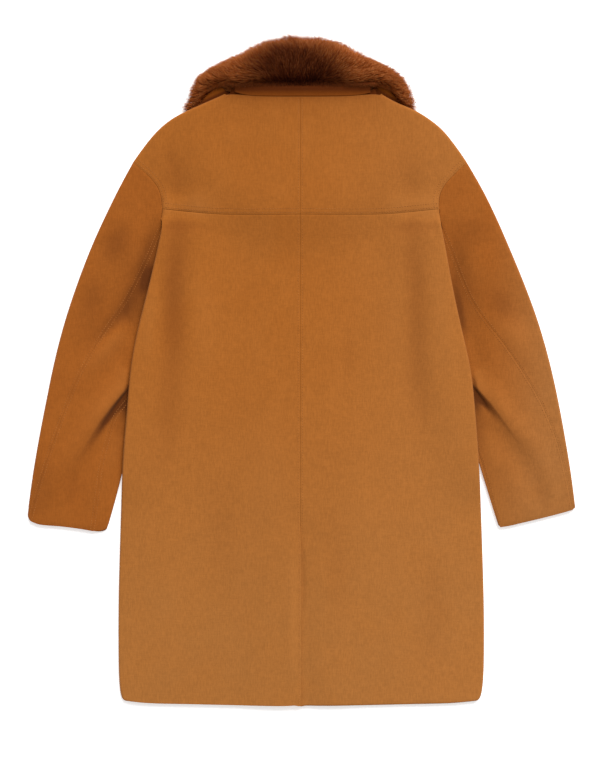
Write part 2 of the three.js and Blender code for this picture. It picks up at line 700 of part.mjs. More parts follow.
// The two pieces of a sleeve, laid flat, with a round fold along its outer and inner limits
function sleeveGrids(side) {
  const { sign, outer, inner, armhole, underarm, cuff } = outlines[side];
  const outerEdge = (share) => at(outer, share);
  const innerEdge = (share) => at(inner, share);
  const headIn = directionAt(armhole, 0);
  const cuffOut = directionAt(cuff, cuffFlat.middle);
  const cuffIn = point(-cuffOut.x, -cuffOut.y);
  const headEnd = directionAt(underarm, 1).negate();
  const gapOff = point(sign * armholeGap.sleeve, 0);
  const outerInward = (share) => inwardAt(outerEdge, share, innerEdge, headIn, cuffOut);
  const innerInward = (share) => inwardAt(innerEdge, share, outerEdge, headEnd, cuffIn);
  const radii = (share) => ({
    outer: sleeveTop(side, share, ...outerEdge(share).toArray()) / 2,
    inner: pressedSleeve / 2 + cuffFold.more * smooth((share - cuffFold.from) / cuffFold.over),
  });
  const outerRim = (share) => outerEdge(share).addScaledVector(outerInward(share), radii(share).outer);
  const innerRim = (share) => innerEdge(share).addScaledVector(innerInward(share), radii(share).inner);
  const headLength = armhole.getLength() + underarm.getLength();
  const head = joined([armhole, underarm], [armhole.getLength() / headLength, 1]);
  const start = (across) => {
    const from = radii(0).outer / headLength;
    return head(mix(from, 1 - radii(0).inner / headLength, across)).add(gapOff);
  };
  const end = (across) => at(cuff, mix(cuffFlat.from, cuffFlat.to, across));
  const place = (share, across) => patchPoint(outerRim, innerRim, start, end, share, across);
  const onTop = (share, across) => {
    return wallPoint((x, down) => sleeveTop(side, share, x, down), place(share, across), 1);
  };
  const onFloor = (share, across) => wallPoint(() => 0, place(share, across), -1);
  const turn = (share, edge, inwardOf, radius, crown, angles) =>
    angles.map((angle) => {
      const spot = edge(share);
      if (share === 0) spot.add(gapOff);
      return foldPoint(spot, inwardOf(share), radius, crown / 2, crown / 2, angle);
    });
  const seams = (share, moved) => {
    const width = outerRim(share).distanceTo(innerRim(share));
    return {
      back: read(backSeamRows, "along", share, side) + moved / width,
      front: read(frontSeamRows, "along", share, side) - moved / width,
    };
  };
  return { onTop, onFloor, turn, seams, outerEdge, innerEdge, outerInward, innerInward, radii };
}

const sleeveStations = [
  ...[0, 0.035, 0.08, 0.13, 0.19, 0.25, 0.31, 0.37, 0.43, 0.48],
  ...[0.53, 0.58, 0.63, 0.68, 0.74, 0.8, 0.86, 0.93, 1],
];
const turnAngles = [50, 0, -50].map(THREE.MathUtils.degToRad);
const turnBack = [...turnAngles].reverse();

function upperSleeve(side) {
  const sleeve = sleeveGrids(side);
  return sleeveStations.map((share) => {
    const { outer, inner } = sleeve.radii(share);
    const { back, front } = sleeve.seams(share, -half);
    const outerCrown = sleeve.onTop(share, 0).outer.z;
    const innerCrown = sleeve.onTop(share, 1).outer.z;
    return [
      ...shares(6).map((s) => sleeve.onTop(share, mix(back, 0, s))),
      ...sleeve.turn(share, sleeve.outerEdge, sleeve.outerInward, outer, outerCrown, turnAngles),
      ...shares(9).map((s) => sleeve.onFloor(share, s)),
      ...sleeve.turn(share, sleeve.innerEdge, sleeve.innerInward, inner, innerCrown, turnBack),
      ...shares(1).map((s) => sleeve.onTop(share, mix(1, front, s))),
    ];
  });
}

function underSleeve(side) {
  const sleeve = sleeveGrids(side);
  return sleeveStations.map((share) => {
    const { back, front } = sleeve.seams(share, half);
    return shares(8).map((s) => sleeve.onTop(share, mix(front, back, s)));
  });
}

// The suede stand of the collar, from the neck seam up to the fur
function collarStand() {
  const furEdge = collarRows.map(({ edge: [x, down] }) => ({ x, down }));
  const places = shares(22).map((share) => mix(-stand.left, stand.right, share));
  return places.map((x) => {
    const seam = sideOf(x).neckAt(Math.abs(x)) - seamGap;
    const top = Math.min(read(furEdge, "x", Math.abs(x), "down") + seamGap, seam - stand.least);
    const length = Math.max(seam - top, stand.slope);
    const surface = (out, down) => backTop(out, seam) + stand.rise * smooth((seam - down) / length);
    return shares(4).map((share) => wallPoint(surface, point(x, mix(seam, top, share)), 1));
  });
}

// The undercollar lies on the fur where the collar is turned to the front, under the shoulder
function undercollar(side) {
  const { sign } = outlines[side];
  const top = (x, down) => neckLift(x, down) - undercollarClear.below;
  return collarRows.slice(undercollarFrom).map(({ edge, inner }) => {
    const from = point(sign * (edge[0] - undercollarClear.outer), edge[1]);
    const to = point(sign * (inner[0] + undercollarClear.inner), inner[1]);
    return shares(5).map((share) => wallPoint(top, from.clone().lerp(to, share), 1));
  });
}

// One ring of the fur, which is flat below, where it lies on the floor: over the fur from its
// outer limit to the edge, down to the inner edge and back along the floor
function furRing({ outer, edge, inner, height }, station, sign) {
  const limit = point(sign * outer[0], outer[1]);
  const upper = point(sign * edge[0], edge[1]);
  const lower = point(sign * inner[0], inner[1]);
  const covered = ({ x, y }) => neckLift(x, y) - undercollarClear.below - cloth - seamGap;
  const sewnOn = station >= undercollarFrom - 1;
  const ring = [];
  const add = ({ x, y }, z) => ring.push(new THREE.Vector3(x, y, z));
  shares(7).forEach((share) => {
    const spot = limit.clone().lerp(upper, share);
    const crown = station >= hiddenFrom ? covered(spot) : height;
    const atEdge = sewnOn ? covered(spot) : height * furShape.shoulder;
    const low = mix(furShape.rim, atEdge, smooth(share));
    const round = (1 - Math.abs(2 * share - 1) ** furShape.square) ** furShape.full;
    add(spot, low + Math.max(crown - low, 0) * round);
  });
  shares(2).slice(1).forEach((share) => {
    const spot = upper.clone().lerp(lower, share);
    if (!sewnOn) spot.y += furShape.step * share;
    add(spot, sewnOn ? covered(spot) : height * mix(furShape.step, furShape.end, share));
  });
  const width = limit.distanceTo(lower);
  [1 - furShape.innerFoot / width, 0.5, furShape.foot / width].forEach((share) => {
    add(limit.clone().lerp(lower, share), 0);
  });
  return ring;
}

function furCollar(name) {
  const leftRings = collarRows.map((row, i) => furRing(row, i, -1)).reverse();
  const rightRings = collarRows.map((row, i) => furRing(row, i, 1)).slice(1);
  const rings = [...leftRings, ...rightRings];
  const size = rings[0].length;
  const faces = [];
  for (let i = 0; i < rings.length - 1; i += 1) {
    for (let j = 0; j < size; j += 1) {
      const next = (j + 1) % size;
      faces.push([i * size + j, (i + 1) * size + j, (i + 1) * size + next]);
      faces.push([i * size + j, (i + 1) * size + next, i * size + next]);
    }
  }
  const last = (rings.length - 1) * size;
  for (let j = 1; j < size - 1; j += 1) {
    faces.push([0, j, j + 1]);
    faces.push([last, last + j + 1, last + j]);
  }
  return solidMesh(name, rings.flat(), faces, fur);
}

const coat = new THREE.Group();
coat.position.set(middleShift, neckDown, 0);
["left", "right"].forEach((side) => {
  coat.add(wallMesh(`yoke_${side}`, yokePanel(side), suede));
  coat.add(wallMesh(`back_${side}`, backPanel(side), suede));
  coat.add(wallMesh(`front_${side}`, frontPanel(side), suede));
  coat.add(wallMesh(`upper_sleeve_${side}`, upperSleeve(side), suede));
  coat.add(wallMesh(`under_sleeve_${side}`, underSleeve(side), suede));
  coat.add(wallMesh(`undercollar_${side}`, undercollar(side), collarSuede));
});
coat.add(wallMesh("collar_stand", collarStand(), collarSuede));
coat.add(furCollar("fur_collar"));

export default coat;
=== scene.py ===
import math
from collections import Counter

import bmesh
import bpy
import numpy as np
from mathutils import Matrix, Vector
from mathutils.bvhtree import BVHTree


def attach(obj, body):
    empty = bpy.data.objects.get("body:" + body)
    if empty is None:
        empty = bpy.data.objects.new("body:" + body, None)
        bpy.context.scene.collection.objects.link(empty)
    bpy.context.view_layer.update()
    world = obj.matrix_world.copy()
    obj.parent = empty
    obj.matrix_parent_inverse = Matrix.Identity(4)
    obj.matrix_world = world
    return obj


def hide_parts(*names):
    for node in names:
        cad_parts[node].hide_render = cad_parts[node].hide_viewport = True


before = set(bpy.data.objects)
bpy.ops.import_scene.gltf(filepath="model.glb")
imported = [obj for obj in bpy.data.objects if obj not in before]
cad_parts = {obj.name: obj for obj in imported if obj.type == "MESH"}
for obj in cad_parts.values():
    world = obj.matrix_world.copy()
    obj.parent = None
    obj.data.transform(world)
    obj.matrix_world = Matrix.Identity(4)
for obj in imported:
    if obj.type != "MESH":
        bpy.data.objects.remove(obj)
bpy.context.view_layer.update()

# Suede coat with a fur collar, lying face down. Places on the coat are (out, down) in
# millimetres: out from the centre back, negative on the wearer's left, and down from the
# back neck seam towards the hem.
neckToMiddle = 439.2
middleToSeam = 1.9


def coatPoint(out, down, z=0.0):
    return Vector(((out - middleToSeam) / 1000, (neckToMiddle - down) / 1000, z))


def coatLine(places):
    return np.array([coatPoint(out, down)[:2] for out, down in places])


def smooth(share):
    share = np.clip(share, 0, 1)
    return share * share * (3 - 2 * share)


def unit(vectors):
    return vectors / np.maximum(np.linalg.norm(vectors, axis=1), 1e-9)[:, None]


# Materials

def newMaterial(name, specular, roughness=1.0):
    material = bpy.data.materials.new(name)
    material.use_nodes = True
    shader = material.node_tree.nodes["Principled BSDF"]
    shader.inputs["Specular IOR Level"].default_value = specular
    shader.inputs["Roughness"].default_value = roughness
    return material, material.node_tree, shader


def newGroup(name, inputs, outputs):
    group = bpy.data.node_groups.new(name, "ShaderNodeTree")
    for direction, labels in (("INPUT", inputs), ("OUTPUT", outputs)):
        for label in labels:
            group.interface.new_socket(label, in_out=direction, socket_type="NodeSocketFloat")
    return group


def addNode(tree, kind, **settings):
    node = tree.nodes.new(kind)
    for key, value in settings.items():
        setattr(node, key, value)
    return node


def addPlace(tree):
    return addNode(tree, "ShaderNodeTexCoord").outputs["Object"]


def addReading(tree, name):
    return addNode(tree, "ShaderNodeAttribute", attribute_name=name).outputs["Fac"]


def addBump(tree, shader, height, strength, distance):
    bump = addNode(tree, "ShaderNodeBump")
    bump.inputs["Strength"].default_value = strength
    bump.inputs["Distance"].default_value = distance
    tree.links.new(height, bump.inputs["Height"])
    tree.links.new(bump.outputs["Normal"], shader.inputs["Normal"])


def addNoise(tree, vector, scale, detail, roughness=0.5, distortion=0.0):
    node = addNode(tree, "ShaderNodeTexNoise")
    node.inputs["Scale"].default_value = scale
    node.inputs["Detail"].default_value = detail
    node.inputs["Roughness"].default_value = roughness
    node.inputs["Distortion"].default_value = distortion
    tree.links.new(vector, node.inputs["Vector"])
    return node.outputs["Fac"]


def addMath(tree, operation, first, second):
    node = addNode(tree, "ShaderNodeMath", operation=operation)
    for socket, value in zip(node.inputs, (first, second)):
        if isinstance(value, bpy.types.NodeSocket):
            tree.links.new(value, socket)
        else:
            socket.default_value = value
    return node.outputs[0]


def addMap(tree, value, low, high, toLow=0.0, toHigh=1.0):
    node = addNode(tree, "ShaderNodeMapRange", interpolation_type="SMOOTHSTEP")
    tree.links.new(value, node.inputs["Value"])
    for label, number in (("From Min", low), ("From Max", high), ("To Min", toLow), ("To Max", toHigh)):
        node.inputs[label].default_value = number
    return node.outputs["Result"]


def addMapping(tree, vector, scale):
    node = addNode(tree, "ShaderNodeMapping")
    node.inputs["Scale"].default_value = scale
    tree.links.new(vector, node.inputs["Vector"])
    return node.outputs["Vector"]


def addMix(tree, factor, first, second, blend="MIX"):
    node = addNode(tree, "ShaderNodeMix", data_type="RGBA", blend_type=blend)
    sockets = [node.inputs[0], node.inputs[6], node.inputs[7]]
    for socket, value in zip(sockets, (factor, first, second)):
        if isinstance(value, bpy.types.NodeSocket):
            tree.links.new(value, socket)
        elif isinstance(value, float):
            socket.default_value = value
        else:
            socket.default_value = (*value, 1)
    return node.outputs[2]


def addTint(tree, base, mask, share, colour):
    return addMix(tree, addMath(tree, "MULTIPLY", mask, share), base, colour)


def addGrey(tree, value):
    node = addNode(tree, "ShaderNodeCombineColor")
    for label in ("Red", "Green", "Blue"):
        tree.links.new(value, node.inputs[label])
    return node.outputs["Color"]


def suedeNapGroup():
    group = newGroup("suedeNap", ["Nap size", "Brushing"], ["Shade", "Patches", "Height"])
    inside = addNode(group, "NodeGroupInput")
    outside = addNode(group, "NodeGroupOutput")
    sized = addNode(group, "ShaderNodeVectorMath", operation="SCALE")
    group.links.new(addPlace(group), sized.inputs[0])
    group.links.new(inside.outputs["Nap size"], sized.inputs["Scale"])
    sized = sized.outputs["Vector"]
    patches = addNoise(group, sized, 13, 3, 0.55, 0.4)
    clouds = addNoise(group, sized, 55, 3, 0.6, 0.6)
    downGrain = addNoise(group, addMapping(group, sized, (1.0, 0.16, 1.0)), 620, 2, 0.6)
    acrossGrain = addNoise(group, addMapping(group, sized, (0.18, 1.0, 1.0)), 520, 2, 0.6)
    fibres = addNoise(group, sized, 1500, 3, 0.65)
    grain = addMath(group, "MULTIPLY", downGrain, 0.4)
    for other, weight in ((acrossGrain, 0.22), (fibres, 0.38)):
        grain = addMath(group, "ADD", grain, addMath(group, "MULTIPLY", other, weight))
    brushed = addMath(group, "MULTIPLY", addMath(group, "SUBTRACT", clouds, 0.5), inside.outputs["Brushing"])
    shade = addMath(group, "ADD", addMap(group, grain, 0.3, 0.7), addMath(group, "MULTIPLY", brushed, 0.9))
    group.links.new(shade, outside.inputs["Shade"])
    group.links.new(patches, outside.inputs["Patches"])
    group.links.new(grain, outside.inputs["Height"])
    return group


suedeNap = suedeNapGroup()

# What every suede shares. Each one's colour runs from upper to lower down the coat, and where it has a lit
# colour it turns to that towards the right, as painted light from the right.
suedeLook = {
    "upperEnd": 0.12,
    "lowerEnd": -0.48,
    "patches": 0.22,
    "highlightShare": 0.5,
    "bump": 0.45,
    "fibreHeight": 0.0006,
    "specular": 0.12,
    "sheenTint": (1.0, 0.74, 0.5, 1),
}


def suedeMaterial(name, settings):
    material, tree, shader = newMaterial(name, suedeLook["specular"])
    nap = addNode(tree, "ShaderNodeGroup", node_tree=suedeNap)
    nap.inputs["Nap size"].default_value = settings["napSize"]
    nap.inputs["Brushing"].default_value = settings["brushing"]
    split = addNode(tree, "ShaderNodeSeparateXYZ")
    tree.links.new(addPlace(tree), split.inputs[0])
    lower = addMap(tree, split.outputs["Y"], suedeLook["upperEnd"], suedeLook["lowerEnd"])
    base = addMix(tree, lower, settings["upper"], settings["lower"])
    # Painted light from the right: paler towards the right
    if "litColour" in settings:
        rightward = addMap(tree, split.outputs["X"], *settings["litOver"])
        base = addTint(tree, base, rightward, settings["litShare"], settings["litColour"])
    patchy = addMap(tree, nap.outputs["Patches"], 0.3, 0.72)
    base = addTint(tree, base, patchy, suedeLook["patches"], settings["patch"])
    napShade = addMap(tree, nap.outputs["Shade"], -0.1, 1.1, 0.86, 1.13)
    base = addMix(tree, 1.0, base, addGrey(tree, napShade), "MULTIPLY")
    # Painted shade, mixed in from its attribute
    base = addTint(tree, base, addReading(tree, "paintedShade"), settings["depth"], settings["shadow"])
    # Painted highlight on the tops of the ridges
    base = addTint(tree, base, addReading(tree, "paintedHighlight"), suedeLook["highlightShare"], settings["highlightColour"])
    tree.links.new(base, shader.inputs["Base Color"])
    rough = addMap(tree, nap.outputs["Shade"], 0.0, 1.0, 0.96, 0.86)
    tree.links.new(rough, shader.inputs["Roughness"])
    shader.inputs["Sheen Weight"].default_value = settings["sheen"]
    shader.inputs["Sheen Roughness"].default_value = 0.55
    shader.inputs["Sheen Tint"].default_value = suedeLook["sheenTint"]
    addBump(tree, shader, nap.outputs["Height"], suedeLook["bump"], suedeLook["fibreHeight"])
    return material


suede = suedeMaterial("suede", {
    "napSize": 1.0,
    "brushing": 0.5,
    "upper": (0.332, 0.100, 0.0122),
    "lower": (0.328, 0.121, 0.0250),
    "patch": (0.372, 0.124, 0.0200),
    "shadow": (0.130, 0.027, 0.0020),
    "highlightColour": (0.430, 0.160, 0.0360),
    "sheen": 0.10,
    "depth": 0.6,
    "litShare": 0.5,
    "litColour": (0.370, 0.138, 0.0310),
    "litOver": (-0.02, 0.26),
})
# The sleeves' suede: the left copy is darker as painted shade, the right copy paler as painted light from
# the right
sleeveSuedeLeft = suedeMaterial("sleeveSuedeLeft", {
    "napSize": 1.0,
    "brushing": 0.7,
    "upper": (0.292, 0.080, 0.0085),
    "lower": (0.284, 0.079, 0.0090),
    "patch": (0.325, 0.098, 0.0130),
    "shadow": (0.050, 0.0090, 0.0006),
    "highlightColour": (0.400, 0.135, 0.0250),
    "sheen": 0.08,
    "depth": 0.78,
})
sleeveSuedeRight = suedeMaterial("sleeveSuedeRight", {
    "napSize": 1.0,
    "brushing": 0.7,
    "upper": (0.300, 0.083, 0.0095),
    "lower": (0.314, 0.116, 0.0250),
    "patch": (0.335, 0.108, 0.0170),
    "shadow": (0.050, 0.0095, 0.0007),
    "highlightColour": (0.410, 0.145, 0.0290),
    "sheen": 0.08,
    "depth": 0.78,
    "litShare": 0.8,
    "litColour": (0.345, 0.135, 0.0350),
    "litOver": (0.29, 0.42),
})
collarSuede = suedeMaterial("collarSuede", {
    "napSize": 1.3,
    "brushing": 0.6,
    "upper": (0.345, 0.088, 0.0050),
    "lower": (0.345, 0.088, 0.0050),
    "patch": (0.370, 0.100, 0.0070),
    "shadow": (0.066, 0.0085, 0.0004),
    "highlightColour": (0.400, 0.125, 0.0120),
    "sheen": 0.02,
    "depth": 0.85,
})


def threadMaterial():
    material, tree, shader = newMaterial("thread", 0.25, 0.7)
    place = addPlace(tree)
    twist = addNode(tree, "ShaderNodeTexWave", wave_type="BANDS", bands_direction="DIAGONAL")
    twist.inputs["Scale"].default_value = 900
    tree.links.new(place, twist.inputs["Vector"])
    tone = addNoise(tree, place, 40, 2)
    base = addMix(tree, addMap(tree, tone, 0.35, 0.65), (0.33, 0.108, 0.018), (0.43, 0.158, 0.034))
    tree.links.new(base, shader.inputs["Base Color"])
    addBump(tree, shader, twist.outputs["Fac"], 0.4, 0.0002)
    return material


thread = threadMaterial()


# Cloth: the outer face of each wall, made finer, folded along the listed lines, given painted shade and
# painted highlights, and given its thickness again

cloth = {
    "thickness": 0.0021,
    "edgeRound": 0.0008,
    "sharpest": math.radians(60),
    "levels": 2,
    "weld": 2e-5,
}

# Soft ridges and troughs along the lines that the folds follow. lift is in millimetres,
# width is the reach to each side, steep gives that of the far side where it differs,
# and fade is the share of the length over which the start and the end die out, half
# each where no fade is given.
bodyFolds = [
    dict(along=[(-214, 60), (-198, 130), (-196, 200), (-204, 300), (-202, 400), (-210, 500), (-222, 640)],
         lift=-2.2, width=21, fade=(0.2, 0.35)),
    dict(along=[(-230, 250), (-240, 350), (-250, 450)], lift=1.4, width=14, fade=(0.4, 0.4)),
    dict(along=[(-158, 250), (-152, 360), (-160, 470)], lift=0.9, width=20, fade=(0.4, 0.4)),
    dict(along=[(160, 45), (174, 130), (178, 215), (186, 320), (186, 440), (200, 600)], lift=-1.5, width=18,
         fade=(0.25, 0.3)),
    dict(along=[(214, 240), (226, 350), (236, 470)], lift=1.0, width=14, fade=(0.4, 0.4)),
    dict(along=[(150, 250), (150, 360), (160, 450)], lift=0.8, width=18, fade=(0.4, 0.4)),
    dict(along=[(70, 350), (76, 410), (74, 470)], lift=-0.8, width=9),
    dict(along=[(-212, 60), (-206, 100), (-196, 150)], lift=-1.0, width=9),
    dict(along=[(-60, 470), (-52, 600), (-66, 760)], lift=0.9, width=30),
    dict(along=[(-118, 560), (-126, 700), (-120, 860)], lift=-0.8, width=26),
    dict(along=[(112, 540), (104, 680), (118, 850)], lift=0.9, width=28),
    dict(along=[(52, 600), (60, 740), (56, 900)], lift=-0.7, width=24),
    dict(along=[(-200, 720), (-214, 830), (-208, 950)], lift=1.0, width=24, fade=(0.4, 0.4)),
    dict(along=[(206, 700), (214, 820), (206, 950)], lift=-0.9, width=22, fade=(0.4, 0.4)),
    dict(along=[(140, 815), (153, 840)], lift=-0.9, width=6),
    dict(along=[(-120, 40), (-96, 90)], lift=0.7, width=16),
    dict(along=[(-222, 176), (-170, 176), (-120, 178)], lift=3.2, width=22, fade=(0.06, 0.5)),
    dict(along=[(-222, 204), (-170, 205), (-120, 206)], lift=-2.0, width=13, fade=(0.06, 0.5)),
    dict(along=[(222, 176), (170, 176), (120, 178)], lift=3.2, width=22, fade=(0.06, 0.5)),
    dict(along=[(222, 204), (170, 205), (120, 206)], lift=-2.0, width=13, fade=(0.06, 0.5)),
    dict(along=[(110, 40), (92, 92)], lift=0.7, width=16),
]
ventFolds = [
    dict(along=[(0, 690), (3, 730), (5, 780), (3, 840)], lift=-1.1, width=5, fade=(0.35, 0.35)),
    dict(along=[(-16, 712), (-13, 760), (-15, 820), (-12, 965)], lift=1.5, width=9, fade=(0.3, 0.3)),
    dict(along=[(24, 700), (28, 780), (25, 960)], lift=1.2, width=11, fade=(0.3, 0.3)),
]
sleeveFolds = [
    dict(along=[(-226, 190), (-240, 250), (-262, 320), (-276, 400)], lift=-2.0, width=14, fade=(0.3, 0.4)),
    dict(along=[(-248, 296), (-266, 322), (-304, 366), (-356, 420)], lift=-3.2, width=13, fade=(0.2, 0.6)),
    dict(along=[(-272, 352), (-310, 404), (-350, 452)], lift=2.6, width=14, fade=(0.4, 0.5)),
    dict(along=[(-276, 190), (-296, 232), (-312, 276)], lift=-1.4, width=19),
    dict(along=[(-310, 274), (-332, 316), (-346, 356)], lift=-1.2, width=18),
    dict(along=[(-262, 447), (-277, 464), (-300, 491), (-321, 519), (-341, 551), (-355, 578), (-376, 611)],
         lift=4.0, width=24, steep=3, fade=(0.02, 0.95)),
    dict(along=[(-256, 453), (-271, 470), (-294, 497), (-314, 524), (-334, 556), (-348, 583)], lift=-5.0,
         width=5, fade=(0.02, 1.0)),
    dict(along=[(-284, 520), (-296, 560), (-308, 610)], lift=1.6, width=11, fade=(0.4, 0.4)),
    dict(along=[(-350, 590), (-366, 632), (-376, 670)], lift=-1.0, width=10),
    dict(along=[(238, 210), (250, 262), (268, 326), (282, 400)], lift=-0.7, width=17, fade=(0.3, 0.4)),
    dict(along=[(308, 300), (326, 338), (336, 376)], lift=-1.1, width=18),
    dict(along=[(294, 330), (334, 376), (376, 440)], lift=1.6, width=17),
    dict(along=[(268, 449), (283, 465), (306, 491), (330, 523), (348, 547), (372, 571)], lift=4.0, width=24,
         steep=3, fade=(0.02, 0.95)),
    dict(along=[(262, 456), (277, 471), (300, 497), (324, 529)], lift=-5.0, width=5, fade=(0.02, 1.0)),
    dict(along=[(292, 520), (306, 568), (318, 620)], lift=1.3, width=10, fade=(0.4, 0.4)),
    dict(along=[(372, 600), (390, 640), (398, 672)], lift=-0.9, width=10),
]


# Where the nap lies in the shade of a fold or of the edge above it. shade is the share of
# the shadow colour on the line itself.
bodyShades = [
    dict(along=[(-196, 190), (-203, 320), (-202, 460)], shade=0.34, width=22, fade=(0.4, 0.5)),
    dict(along=[(180, 200), (186, 320), (187, 440)], shade=0.16, width=20, fade=(0.4, 0.5)),
]
collarShades = [
    dict(along=[(-102, -14), (-120, -5), (-149, 8), (-181, 22)], shade=1.3, width=5, fade=(0.02, 0.02)),
    dict(along=[(112, -14), (129, -5), (151, 8), (185, 22)], shade=1.3, width=5, fade=(0.02, 0.02)),
    dict(along=[(-118, -24), (-140, -16), (-168, 2)], shade=0.8, width=6, fade=(0.02, 0.02)),
    dict(along=[(126, -24), (146, -16), (172, 2)], shade=0.8, width=6, fade=(0.02, 0.02)),
]
sleeveShades = [
    dict(along=[(-226, 185), (-236, 240), (-247, 285), (-257, 330), (-268, 395)], shade=0.32, width=15,
         fade=(0.25, 0.4)),
    dict(along=[(-242, 215), (-258, 280), (-278, 330), (-306, 372)], shade=0.22, width=26, fade=(0.4, 0.5)),
    dict(along=[(-236, 258), (-245, 288), (-255, 322)], shade=0.70, width=9),
    dict(along=[(-258, 451), (-273, 469), (-296, 496), (-316, 523), (-336, 555), (-350, 582)], shade=1.8,
         width=5.5, fade=(0.02, 1.0)),
    dict(along=[(-270, 470), (-284, 520), (-292, 600)], shade=0.38, width=15, fade=(0.1, 0.7)),
    dict(along=[(-266, 462), (-278, 486), (-284, 524)], shade=1.30, width=9, fade=(0.05, 0.8)),
    dict(along=[(-270, 190), (-296, 240), (-316, 290)], shade=0.22, width=24),
    dict(along=[(-312, 290), (-338, 350), (-362, 410)], shade=0.20, width=24),
    dict(along=[(-404, 560), (-420, 620), (-428, 680)], shade=0.23, width=20, fade=(0.5, 0.2)),
    dict(along=[(238, 195), (247, 250), (258, 320), (270, 405)], shade=0.15, width=15, fade=(0.25, 0.4)),
    dict(along=[(242, 262), (254, 330), (266, 396)], shade=0.60, width=7, fade=(0.6, 0.3)),
    dict(along=[(252, 220), (266, 290), (280, 355)], shade=0.14, width=27, fade=(0.4, 0.5)),
    dict(along=[(264, 453), (279, 470), (302, 496), (322, 522)], shade=1.5, width=5, fade=(0.02, 1.0)),
    dict(along=[(272, 472), (282, 520), (290, 600)], shade=0.38, width=15, fade=(0.1, 0.7)),
    dict(along=[(268, 462), (282, 488), (288, 516)], shade=0.95, width=8, fade=(0.05, 0.8)),
    dict(along=[(290, 262), (318, 330), (338, 392)], shade=0.22, width=24),
    dict(along=[(262, 180), (290, 250)], shade=0.24, width=30),
]


def foldReading(fold, places):
    line = coatLine(fold["along"])
    pieces = np.diff(line, axis=0)
    lengths = np.linalg.norm(pieces, axis=1)
    before = np.concatenate([[0], np.cumsum(lengths)[:-1]])
    nearest = np.full(len(places), 1e9)
    side = np.zeros(len(places))
    share = np.zeros(len(places))
    for start, piece, length, done in zip(line[:-1], pieces, lengths, before):
        along = np.clip(((places - start) @ piece) / length ** 2, 0, 1)
        off = places - (start + along[:, None] * piece)
        far = np.linalg.norm(off, axis=1)
        closer = far < nearest
        nearest = np.where(closer, far, nearest)
        side = np.where(closer, off[:, 0] * piece[1] - off[:, 1] * piece[0], side)
        share = np.where(closer, (done + along * length) / lengths.sum(), share)
    return nearest, side, share


def foldSum(rows, places, key):
    # The sum of what the rows give under key, each soft across its line
    total = np.zeros(len(places))
    for row in rows:
        far, side, share = foldReading(row, places)
        width = np.full(len(places), row["width"] / 1000)
        if "steep" in row:
            lowerSide = side * np.sign(row["along"][0][0]) > 0
            width = np.where(lowerSide, row["steep"] / 1000, width)
        first, last = row.get("fade", (0.5, 0.5))
        ends = smooth(share / first) * smooth((1 - share) / last)
        total += row[key] * ends * np.exp(-((far / width) ** 2))
    return total


def weldedNode(node):
    bm = bmesh.new()
    bm.from_mesh(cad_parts[node].data)
    bmesh.ops.remove_doubles(bm, verts=bm.verts, dist=cloth["weld"])
    return bm


def meshFrom(bm, name):
    mesh = bpy.data.meshes.new(name)
    bm.to_mesh(mesh)
    bm.free()
    return mesh


def outerSheet(node, facing):
    bm = weldedNode(node)
    bm.normal_update()
    best, bestScore = set(), -1e9
    seen = set()
    for face in bm.faces:
        if face in seen:
            continue
        island = {face}
        stack = [face]
        while stack:
            for edge in stack.pop().edges:
                if len(edge.link_faces) != 2 or edge.calc_face_angle(0) > cloth["sharpest"]:
                    continue
                for other in edge.link_faces:
                    if other not in island:
                        island.add(other)
                        stack.append(other)
        seen |= island
        area = sum(f.calc_area() for f in island)
        up = sum(f.calc_area() * f.normal.z for f in island)
        score = area + 0.5 * facing * up
        if score > bestScore:
            best, bestScore = island, score
    bmesh.ops.delete(bm, geom=[f for f in bm.faces if f not in best], context="FACES")
    bmesh.ops.join_triangles(
        bm, faces=bm.faces, angle_face_threshold=math.radians(40),
        angle_shape_threshold=math.radians(180), topology_influence=1.0)
    return meshFrom(bm, node + "_sheet")


def applied(obj):
    depsgraph = bpy.context.evaluated_depsgraph_get()
    mesh = bpy.data.meshes.new_from_object(obj.evaluated_get(depsgraph))
    obj.modifiers.clear()
    old = obj.data
    obj.data = mesh
    bpy.data.meshes.remove(old)
    return obj


def makeObject(name, data):
    obj = bpy.data.objects.new(name, data)
    bpy.context.scene.collection.objects.link(obj)
    return obj


def vertexArray(mesh, reading="co"):
    values = np.empty(len(mesh.vertices) * 3)
    mesh.vertices.foreach_get(reading, values)
    return values.reshape(-1, 3)


def setVertices(mesh, places):
    mesh.vertices.foreach_set("co", places.ravel())
    mesh.update()


def addAttribute(mesh, name, values):
    attribute = mesh.attributes.new(name, "FLOAT", "POINT")
    attribute.data.foreach_set("value", np.asarray(values, dtype=np.float32))


panels = {
    "yoke_left": dict(facing=1, flat=(0.29, 0.21), area=0.0435),
    "yoke_right": dict(facing=1, flat=(0.29, 0.21), area=0.0436),
    "back_left": dict(facing=1, flat=(0.31, 0.82), area=0.226),
    "back_right": dict(facing=1, flat=(0.34, 0.82), area=0.236),
    "front_left": dict(facing=-1, flat=(0.34, 1.0), area=0.281),
    "front_right": dict(facing=-1, flat=(0.34, 1.0), area=0.281),
    "upper_sleeve_left": dict(facing=0, flat=(0.33, 0.66), area=0.132),
    "upper_sleeve_right": dict(facing=0, flat=(0.33, 0.66), area=0.121),
    "under_sleeve_left": dict(facing=1, flat=(0.16, 0.5), area=0.0395),
    "under_sleeve_right": dict(facing=1, flat=(0.16, 0.5), area=0.0455),
    "undercollar_left": dict(facing=1, flat=(0.08, 0.26), area=0.0084),
    "undercollar_right": dict(facing=1, flat=(0.08, 0.26), area=0.0084),
    "collar_stand": dict(facing=1, flat=(0.22, 0.03), area=0.0039),
}


def bodyEdge(back, sign, downs):
    # How far out the edge of the body lies, read from the panel of the back on that side
    places = vertexArray(back.data)
    steps = np.arange(-0.53, 0.262, 0.01)
    reach = [np.max(sign * places[np.abs(places[:, 1] - y) < 0.012, 0], initial=0.2) for y in steps]
    return np.interp(downs, steps, reach)


